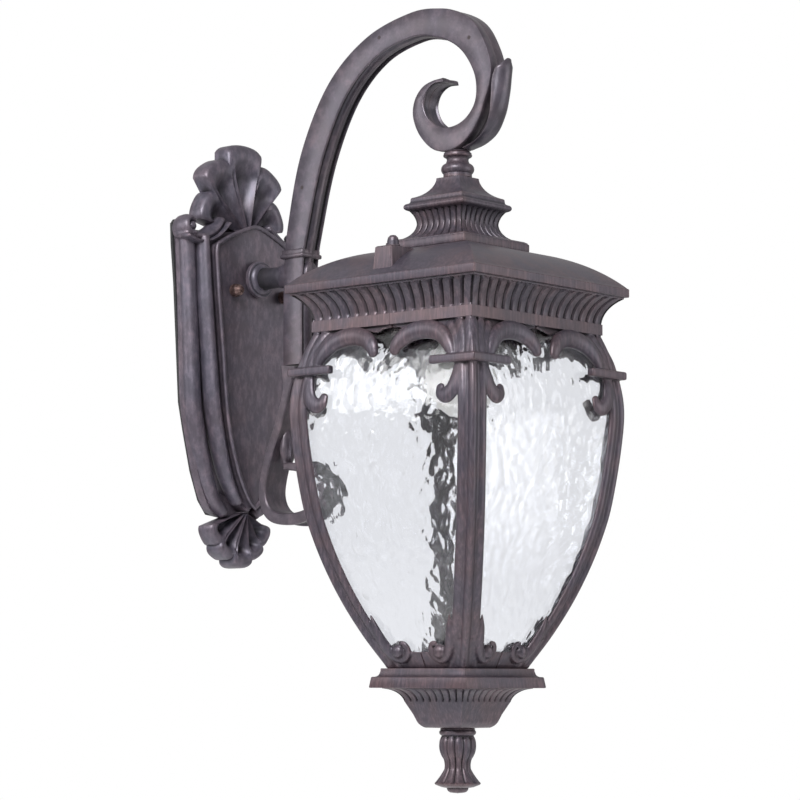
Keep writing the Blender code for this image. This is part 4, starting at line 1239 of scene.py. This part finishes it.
@dataclass
class Arm:
    """The two halves of the cast arm, its leaf, the scroll under the bar and the neck to the wall."""

    steps: int = 12

    def build(self) -> None:
        """Makes the halves and what they carry."""
        for name, side in (("left", -1), ("right", 1)):
            half = channelled(ARM_EDGES, side, self.steps)
            for extra in (self.barrel(side), self.seat(side), *self.bands(side)):
                add(half, extra)
            publish(f"arm_casting_{name}", half, ARM, Body.WALL, Slot.BRONZE, [f"arm_half_{name}"], 35)
        self.leaf()
        self.pins()
        self.scroll()
        self.neck()

    @staticmethod
    def halved(bm: bmesh.types.BMesh, side: int) -> bmesh.types.BMesh:
        """Keeps what lies on one side of the seam, and closes the cut."""
        cut = bmesh.ops.bisect_plane(bm, geom=bm.verts[:] + bm.edges[:] + bm.faces[:], clear_inner=True,
                                     plane_co=(side * SEAM, 0, 0), plane_no=(side, 0, 0))["geom_cut"]
        rim = [item for item in cut if isinstance(item, bmesh.types.BMEdge)]
        bmesh.ops.holes_fill(bm, edges=rim, sides=0)
        bmesh.ops.recalc_face_normals(bm, faces=bm.faces)
        return bm

    def barrel(self, side: int) -> bmesh.types.BMesh:
        """The barrel at the hub, where the neck comes in."""
        outline = (Moulding(0.0, 27.0).to(10.2, 27.0).arc(10.6, 25.0, 0.4, 3).arc(11.2, -13.0, 3.4, 16)
                   .arc(9.6, -15.5, 0.5, 3).to(0.0, -15.5))
        bm = round_turning(outline, 48)
        turn = Matrix.Translation((0, BAR_Y, HUB_Z)) @ Matrix.Rotation(-math.pi / 2, 4, "X")
        bmesh.ops.transform(bm, matrix=Matrix.Diagonal((0.78, 1, 1, 1)) @ turn, verts=bm.verts)
        return self.halved(bm, side)

    def seat(self, side: int) -> bmesh.types.BMesh:
        """The round seat under the scroll, which stands on the collar."""
        outline = (Moulding(0.0, ARM_FOOT + 12.0).to(8.5, ARM_FOOT + 12.0).arc(11.4, ARM_FOOT + 0.1, -1.6, 8)
                   .to(0.0, ARM_FOOT + 0.1))
        bm = round_turning(outline, 48)
        bmesh.ops.translate(bm, vec=AXIS, verts=bm.verts)
        return self.halved(bm, side)

    def bands(self, side: int) -> list[bmesh.types.BMesh]:
        """The two-step band round the bar above the hub."""
        made = []
        for height, thick, grow in ((33.0, 9.0, 1.3), (31.0, 4.4, 2.6)):
            size = (2 * (ARM_HALF + grow), 2 * (12.6 + grow), thick)
            made.append(self.halved(block(size, (0, BAR_Y, height), 1.6, 3), side))
        return made

    @staticmethod
    def leaf() -> None:
        """The hollow leaf that cups the front of the scroll, its tip curling away."""
        near = smooth([(-12, 2.2), (-27, 6.5), (-39.5, 15.0), (-46.5, 30.0), (-48.6, 46.0), (-49.6, 60.0),
                       (-53.6, 71.0), (-60.0, 77.5)], 6)
        far = smooth([(-13.0, 0.6), (-27.5, 4.6), (-41.5, 14.0), (-53.0, 31.0), (-58.8, 50.0), (-61.2, 65.0),
                      (-61.6, 73.0), (-60.8, 79.6)], 6)
        ways = [math.sin(math.pi / 2 * step / 8) for step in range(-8, 9)]
        columns = [(way, math.sqrt(1 - way * way)) for way in ways]
        columns += [(way * 0.86, math.sqrt(1 - way * way) * 0.78 - 0.02) for way in reversed(ways)]

        def place(u: float, v: float) -> Vector:
            """The point at a pair of shares."""
            way, bulge = columns[round(u * len(columns)) % len(columns)]
            inner, outer = along(near, v), along(far, v)
            swell = 0.5 + 0.5 * math.sin(math.pi * (0.12 + 0.62 * v))
            wide = (ARM_HALF - 0.2) * swell * (1 - 0.55 * max(0.0, v - 0.85) / 0.15)
            spot = inner.lerp(outer, bulge)
            return Vector((way * wide, AXIS_Y + spot.x, ARM_FOOT + spot.y))

        bm = close(grid(len(columns), 48, place))
        publish("arm_leaf_casting", bm, ARM, Body.WALL, Slot.BRONZE, ["arm_leaf"], 50)

    @staticmethod
    def pins() -> None:
        """The ends of the three pins as dark discs: painted shade for the small recesses they sit in."""
        for place in ("back", "top", "front"):
            low, high = span("arm_screw_" + place)
            bm = bmesh.new()
            for side in (-1, 1):
                disc = bmesh.new()
                bmesh.ops.create_cone(disc, cap_ends=True, segments=20, radius1=1.9, radius2=1.9, depth=2.6)
                at = (side * (ARM_HALF - 1.35), (low.y + high.y) / 2, (low.z + high.z) / 2)
                turn = Matrix.Translation(at) @ Matrix.Rotation(math.pi / 2, 4, "Y")
                bmesh.ops.transform(disc, matrix=turn, verts=disc.verts)
                add(bm, disc)
            # Painted shade: the dark shaded bronze stands for the shadow inside the pin holes.
            publish("pin_ends_" + place, bm, SHADED, Body.WALL, Slot.DARK, ["arm_screw_" + place])

    @staticmethod
    def scroll() -> None:
        """The wide strap under the bar with a channel along its front, and a bud in its curl."""
        def section(half: float) -> list[tuple[float, float]]:
            """The strap's section at a half width."""
            deep = min(2.4, half * 0.5)
            return [(-15, -half + 1), (-14, -half), (14, -half), (15, -half + 1), (15, half - 1),
                    (14.2, half),
                    (11.6, half), (10.6, half - deep), (-10.6, half - deep), (-11.6, half), (-14.2, half),
                    (-15, half - 1)]
        bm = strap(LOWER_KNOTS, section, 12)
        bud = smooth([(216, -238, 2.4), (213, -247, 4.4), (213, -256, 5.6), (213, -265, 6.0),
                      (213, -273, 4.8), (214, -279, 3.0)], 6)
        path = [Vector((0, AXIS_Y + p.x, ARM_FOOT + p.y)) for p in bud]
        add(bm, tube(path, [p.z for p in bud], [Vector((1, 0, 0))] * len(path), 1.5, 14))
        publish("lower_scroll_casting", bm, ARM, Body.WALL, Slot.BRONZE, ["lower_scroll"], 35)

    @staticmethod
    def neck() -> None:
        """The turned neck with a stepped flange against the plate."""
        panel = span("back_plate")[0].y
        back = panel - 0.3
        reach = -(BAR_Y + 11.5) + back
        outline = (Moulding(6.0, 0.0).to(9.4, 0.0).arc(9.6, 4.0, -0.5, 4).to(10.4, reach - 9.0)
                   .arc(15.2, reach - 4.8, -1.2, 5).to(16.8, reach - 4.4).arc(17.9, reach - 3.2, -0.5, 3)
                   .to(17.9, reach).to(6.0, reach).to(6.0, 0.0))
        bm = round_turning(outline, 64)
        turn = Matrix.Translation((0, BAR_Y + 11.5, HUB_Z)) @ Matrix.Rotation(-math.pi / 2, 4, "X")
        bmesh.ops.transform(bm, matrix=turn, verts=bm.verts)
        bmesh.ops.recalc_face_normals(bm, faces=bm.faces)
        publish("neck_turning", bm, PLATE, Body.WALL, Slot.BRONZE, ["hub_neck"], 35)


# ------------------------------------------------------------------ wall plate


def mirrored(points: Sequence[Vector]) -> list[Vector]:
    """An outline of the right half, with its mirror image, all the way round."""
    left = [Vector((-p.x, *p[1:])) for p in reversed(points) if abs(p.x) > 1e-6]
    return [*points, *left]


def wall_tube(line: Sequence[Vector], front: float, back: float) -> bmesh.types.BMesh:
    """A half-round moulding on the wall: points of across, height and half width."""
    middle, deep = (front + back) / 2, (back - front) / 2
    path = [Vector((p.x, middle, p.y)) for p in line]
    wide = sum(p.z for p in line) / len(line)
    return tube(path, [p.z for p in line], [Vector((0, 1, 0))] * len(path), deep / wide, 20)


@dataclass
class Plate:
    """The wall plate: two limbs, two inner mouldings, a beaded panel, volutes and shells."""

    def build(self) -> None:
        """Makes the plate and its shells."""
        self.plate()
        self.shell("top_shell_casting", "top_shell", 1)
        self.shell("bottom_shell_casting", "bottom_shell", -1)

    def plate(self) -> None:
        """The cast plate."""
        bm = bmesh.new()
        low, high = span("back_plate")
        front, back = low.y + 0.05, high.y - 0.05
        rim = smooth([(0, 62, 0), (40, 60, 0), (77, 54, 0), (79.6, 44, 0), (77, 6, 0), (74, -51, 0),
                      (70.8, -109, 0),
                      (65, -137, 0), (55.1, -175, 0), (44, -202, 0), (32, -215, 0), (0, -219, 0)], 6)
        body = smooth([(0, 62, 0), (30, 59, 0), (60, 50, 0), (60.5, 20, 0), (58, -12, 0), (53, -60, 0),
                       (47.5, -106, 0),
                       (39.5, -145, 0), (27, -181, 0), (13, -203, 0), (0, -212, 0)], 6)
        panel = [(0, 66), (7, 65), (22, 59.5), (38, 52.5), (49, 46), (55, 40.5), (54, 20), (51.5, -8),
                 (45.6, -60),
                 (40.6, -106), (35.4, -137), (25.4, -169), (15.4, -190), (7, -203), (0, -209)]
        panel = smooth([(x, z, 0.0) for x, z in panel], 4)
        walls = ((rim, back, -12.5, 0.72, 0.86), (body, back - 1.2, -25.0, 0.84, 0.93),
                 (panel, back - 3.0, front + 4.0, 0.9, 0.96))
        for outline, near, far, across, tall in walls:
            add(bm, self.wall(mirrored(outline), near, far, across, tall))
        add(bm, extruded(mirrored(panel), lambda p, h: Vector((p.x, h, p.y)), front + 6.5, front + 2.6))
        limb = smooth([(72.6, 52, 8.2), (71.4, 30, 8.0), (69.8, 6, 8.0), (66.4, -51, 8.2), (62.7, -109, 8.4),
                       (56.6, -139, 8.4), (46.0, -176, 8.0), (35.0, -200, 7.4), (22, -213, 6.4)], 8)
        inner = smooth([(62.5, 50, 5.4), (60.6, 20, 5.8), (58.4, -12, 6.2), (53.4, -60, 6.5), (48, -106, 6.6),
                        (39.6, -145, 6.4), (27.2, -181, 5.6), (13, -203, 4.6)], 8)
        sweep = smooth([(82, 53, 5.0), (71, 50.5, 5.6), (60, 51.5, 5.8), (49, 56.5, 5.6), (40, 63.5, 5.0),
                        (33, 71, 4.0)], 8)
        lip = smooth([(84, 50, 1.9), (71, 46.2, 2.1), (58, 47.2, 2.2), (46, 52.4, 2.2), (36, 60, 2.0),
                      (28, 68, 1.8)], 8)
        curl = [Vector((75.2 + 7.0 * math.cos(a), 60.6 + 7.8 * math.sin(a), 5.6 - 0.2 * i))
                for i, a in enumerate(math.radians(-100 + 20 * step) for step in range(13))]
        for side in (-1, 1):
            mirror = Matrix.Diagonal((side, 1, 1, 1))
            add(bm, wall_tube(limb, -21.0, back), mirror)
            add(bm, wall_tube(inner, -33.0, -13.0), mirror)
            add(bm, wall_tube(sweep, -27.0, back), mirror)
            add(bm, wall_tube(lip, -29.5, -16.0), mirror)
            add(bm, wall_tube(curl, -25.0, back), mirror)
            ball = bmesh.new()
            bmesh.ops.create_uvsphere(ball, u_segments=20, v_segments=14, radius=4.8)
            bmesh.ops.translate(ball, vec=Vector((74.0, -20.0, 60.4)), verts=ball.verts)
            add(bm, ball, mirror)
            disc = block((14.0, 12.0, 15.0), (77.0, -9.0, 58.0), 3.0, 3)
            add(bm, disc, mirror)
        bead = mirrored([Vector((p.x - (0.0 if p.x < 1 else 0.4), p.y, 0.0)) for p in panel])
        add(bm, self.ring(bead, front + 2.2, 2.1))
        publish("plate_casting", bm, PLATE, Body.WALL, Slot.BRONZE, ["back_plate"], 38)

    @staticmethod
    def wall(line: Sequence[Vector], near: float, far: float, across: float,
             tall: float) -> bmesh.types.BMesh:
        """A closed wall that follows an outline, its inner side a share of the outer one's size.

        Args:
            line: The outline, across and height.
            near: Where it starts, out from the wall.
            far: Where it ends.
            across: The inner side's share in width.
            tall: The inner side's share in height.
        """
        middle = (max(p.y for p in line) + min(p.y for p in line)) / 2
        corners = ((1.0, 1.0, near), (1.0, 1.0, far), (across, tall, far), (across, tall, near))

        def place(u: float, v: float) -> Vector:
            """The point at a pair of shares."""
            point = line[round(v * len(line)) % len(line)]
            wide, high, y = corners[round(u * 4) % 4]
            return Vector((point.x * wide, y, middle + (point.y - middle) * high))

        return close(grid(4, len(line), place))

    @staticmethod
    def ring(line: Sequence[Vector], y: float, radius: float, sides: int = 10) -> bmesh.types.BMesh:
        """A closed bead along an outline on the wall."""
        count = len(line)

        def place(u: float, v: float) -> Vector:
            """The point at a pair of shares."""
            index = round(v * count) % count
            run = (line[(index + 1) % count] - line[index - 1]).xy.normalized()
            angle = u * math.tau
            aside, out = radius * math.cos(angle), radius * math.sin(angle)
            return Vector((line[index].x - run.y * aside, y + out, line[index].y + run.x * aside))

        return close(grid(sides, count, place))

    @staticmethod
    def shell(name: str, node_name: str, way: int) -> None:
        """A fan of five hollow lobes with thick rounded ends.

        Args:
            name: Name of the piece.
            node_name: The frame node it stands for.
            way: 1 to open upwards, -1 to open downwards.
        """
        low, high = span(node_name)
        if way > 0:
            foot, height, reaches, spread = low.z - 9.0, high.z - low.z + 8.6, (0.68, 0.88, 1.0), 30.0
        else:
            foot, height, reaches, spread = high.z + 9.0, high.z - low.z + 8.6, (0.86, 0.92, 1.0), 27.0
        edges = (-2.62, -1.52, -0.55, 0.55, 1.52, 2.62)
        cells = 16
        rows = [(share / 20, 1.0) for share in range(1, 18)]
        rows += [(0.9, 1.0), (0.935, 0.985), (0.965, 0.94), (0.985, 0.86), (0.997, 0.74), (1.0, 0.6),
                 (1.0, 0.3), (1.0, 0.0)]
        last = 5 * cells

        def place(u: float, v: float) -> Vector:
            """The point at a pair of shares."""
            column = min(max(round(u * (last + 2)) - 1, 0), last)
            lobe = min(column // cells, 4)
            t = (column - lobe * cells) / cells * 2 - 1
            angle = math.radians(spread) * (edges[lobe] + (edges[lobe + 1] - edges[lobe]) * (t + 1) / 2)
            share, high_share = rows[round(v * (len(rows) - 1))]
            reach = height * reaches[2 - abs(lobe - 2)] * (1 - 0.055 * abs(t) ** 4)
            rise = 0.4 + 0.52 * t * t if abs(t) < 0.9 else 0.82 - 1.6 * (abs(t) - 0.9)
            roll = min(1.0, max(0.0, (share - 0.62) / 0.26))
            rise += (0.96 - rise) * roll * roll * (3 - 2 * roll) * (1 - 0.14 * abs(t) ** 4)
            front = -29.0 + 9.6 * share - 1.6 * (2 - abs(lobe - 2))
            edge = round(u * (last + 2)) in (0, last + 2)
            y = -1.05 if edge or high_share == 0 else -1.05 + (front + 1.05) * rise * high_share
            return Vector((reach * share * math.sin(angle), y, foot + way * reach * share * math.cos(angle)))

        bm = close(grid(last + 2, len(rows) - 1, place))
        publish(name, bm, PLATE, Body.WALL, Slot.BRONZE, [node_name], 50)


PARTS = (Roof(), Corners(), Panes(), Foot(), Arm(), Plate())



# ------------------------------------------------------------------ kept pieces and studio


def dress_kept() -> None:
    """Gives every frame node that stays visible the finish of its kind."""
    kinds: tuple[tuple[tuple[str, ...], Finish], ...] = (
        (("bulb_globe",), OPAL),
        (("glass_clip", "arm_screw", "splice"), SHADED),
        (("glass",), GLASS),
        (("lampholder_shell", "hub_locknut", "nipple", "ground_screw", "bulb_base"), BRASS),
        (("lampholder",), PORCELAIN),
        (("wall_gasket",), FOAM),
        (("arm_lead",), SLEEVE),
        (("cap_nut",), NUT),
        (("mounting", "scroll_stud", "bottom_stud", "bottom_nut", "tray_screw"), STEEL),
        (("socket_cap",), SHADED),
        (("back_plate", "top_shell", "bottom_shell", "hub_neck"), PLATE),
        (("arm", "lower_scroll"), ARM),
    )
    for name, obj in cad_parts.items():
        finish = next((paint for starts, paint in kinds if name.startswith(starts)), CAST)
        obj.data.materials.clear()
        obj.data.materials.append(finish.material())


@dataclass
class Studio:
    """A white room with soft light, a pale floor and the camera."""

    turn: float = math.radians(-48.94)
    rise: float = math.radians(-5.64)
    roll: float = math.radians(0.12)
    place: tuple[float, float, float] = (-1.92408, -1.89834, -0.36746)
    lens: float = 124.2
    floor_height: float = -1.4
    ambient: float = 0.5

    def build(self) -> None:
        """Makes the world, the floor, the lights and the camera."""
        scene = bpy.context.scene
        scene.view_settings.view_transform = "Standard"
        world = bpy.data.worlds.new("studio")
        world.use_nodes = True
        tree = world.node_tree
        tree.nodes["Background"].inputs["Color"].default_value = (1.0, 1.0, 1.0, 1.0)
        path = node(tree, "ShaderNodeLightPath")
        seen = Socket(tree, path.outputs["Is Camera Ray"]) * (1.0 - self.ambient)
        seen = seen + Socket(tree, path.outputs["Is Transmission Ray"]) * (0.95 - self.ambient)
        feed(tree, tree.nodes["Background"].inputs["Strength"], seen + self.ambient)
        scene.world = world
        self.camera()
        self.floor()
        self.light("key", (-2.0, -0.9, 1.2), 1.1, 92.0)
        self.light("fill", (0.9, -2.1, 0.0), 1.5, 16.0)
        self.light("rim", (-1.6, 0.7, 0.4), 0.8, 10.0)

    def camera(self) -> None:
        """The camera that stands where the object is seen best."""
        back = Vector((math.sin(self.turn) * math.cos(self.rise),
                       -math.cos(self.turn) * math.cos(self.rise), math.sin(self.rise)))
        lens = bpy.data.cameras.new("camera")
        lens.lens = self.lens
        lens.sensor_width = 36.0
        camera = bpy.data.objects.new("camera", lens)
        facing = (-back).to_track_quat("-Z", "Y").to_matrix().to_4x4()
        place = Matrix.Translation(Vector(self.place))
        camera.matrix_world = place @ facing @ Matrix.Rotation(self.roll, 4, "Z")
        bpy.context.scene.collection.objects.link(camera)
        bpy.context.scene.camera = camera

    def floor(self) -> None:
        """A plain pale floor below the lantern."""
        bm = bmesh.new()
        bmesh.ops.create_grid(bm, x_segments=1, y_segments=1, size=2.2)
        bmesh.ops.translate(bm, vec=Vector((0, 0, self.floor_height)), verts=bm.verts)
        mesh = bpy.data.meshes.new("floor")
        bm.to_mesh(mesh)
        bm.free()
        paint = bpy.data.materials.new("pale_floor")
        paint.use_nodes = True
        shader = paint.node_tree.nodes["Principled BSDF"]
        shader.inputs["Base Color"].default_value = (0.94, 0.94, 0.94, 1.0)
        shader.inputs["Roughness"].default_value = 0.9
        shader.inputs["Emission Color"].default_value = (1.0, 1.0, 1.0, 1.0)
        shader.inputs["Emission Strength"].default_value = 0.35
        mesh.materials.append(paint)
        floor = bpy.data.objects.new("floor", mesh)
        bpy.context.scene.collection.objects.link(floor)

    @staticmethod
    def light(name: str, place: Sequence[float], size: float, power: float) -> None:
        """A soft square lamp that looks at the lantern.

        Args:
            name: Its name.
            place: Where it hangs, in metres.
            size: Its side, in metres.
            power: Its power in watts.
        """
        lamp = bpy.data.lights.new(name, "AREA")
        lamp.size = size
        lamp.energy = power
        obj = bpy.data.objects.new(name, lamp)
        toward = Vector((0.0, AXIS_Y / MM, -0.1)) - Vector(place)
        facing = toward.to_track_quat("-Z", "Y").to_matrix().to_4x4()
        obj.matrix_world = Matrix.Translation(Vector(place)) @ facing
        bpy.context.scene.collection.objects.link(obj)


def main() -> None:
    """Builds the looks in order, from the roof to the wall and the studio."""
    logging.basicConfig(level=logging.INFO, format="%(name)s: %(message)s")
    dress_kept()
    for part in PARTS:
        LOG.info("building %s", type(part).__name__)
        part.build()
    Studio().build()


if __name__ == "__main__":
    main()
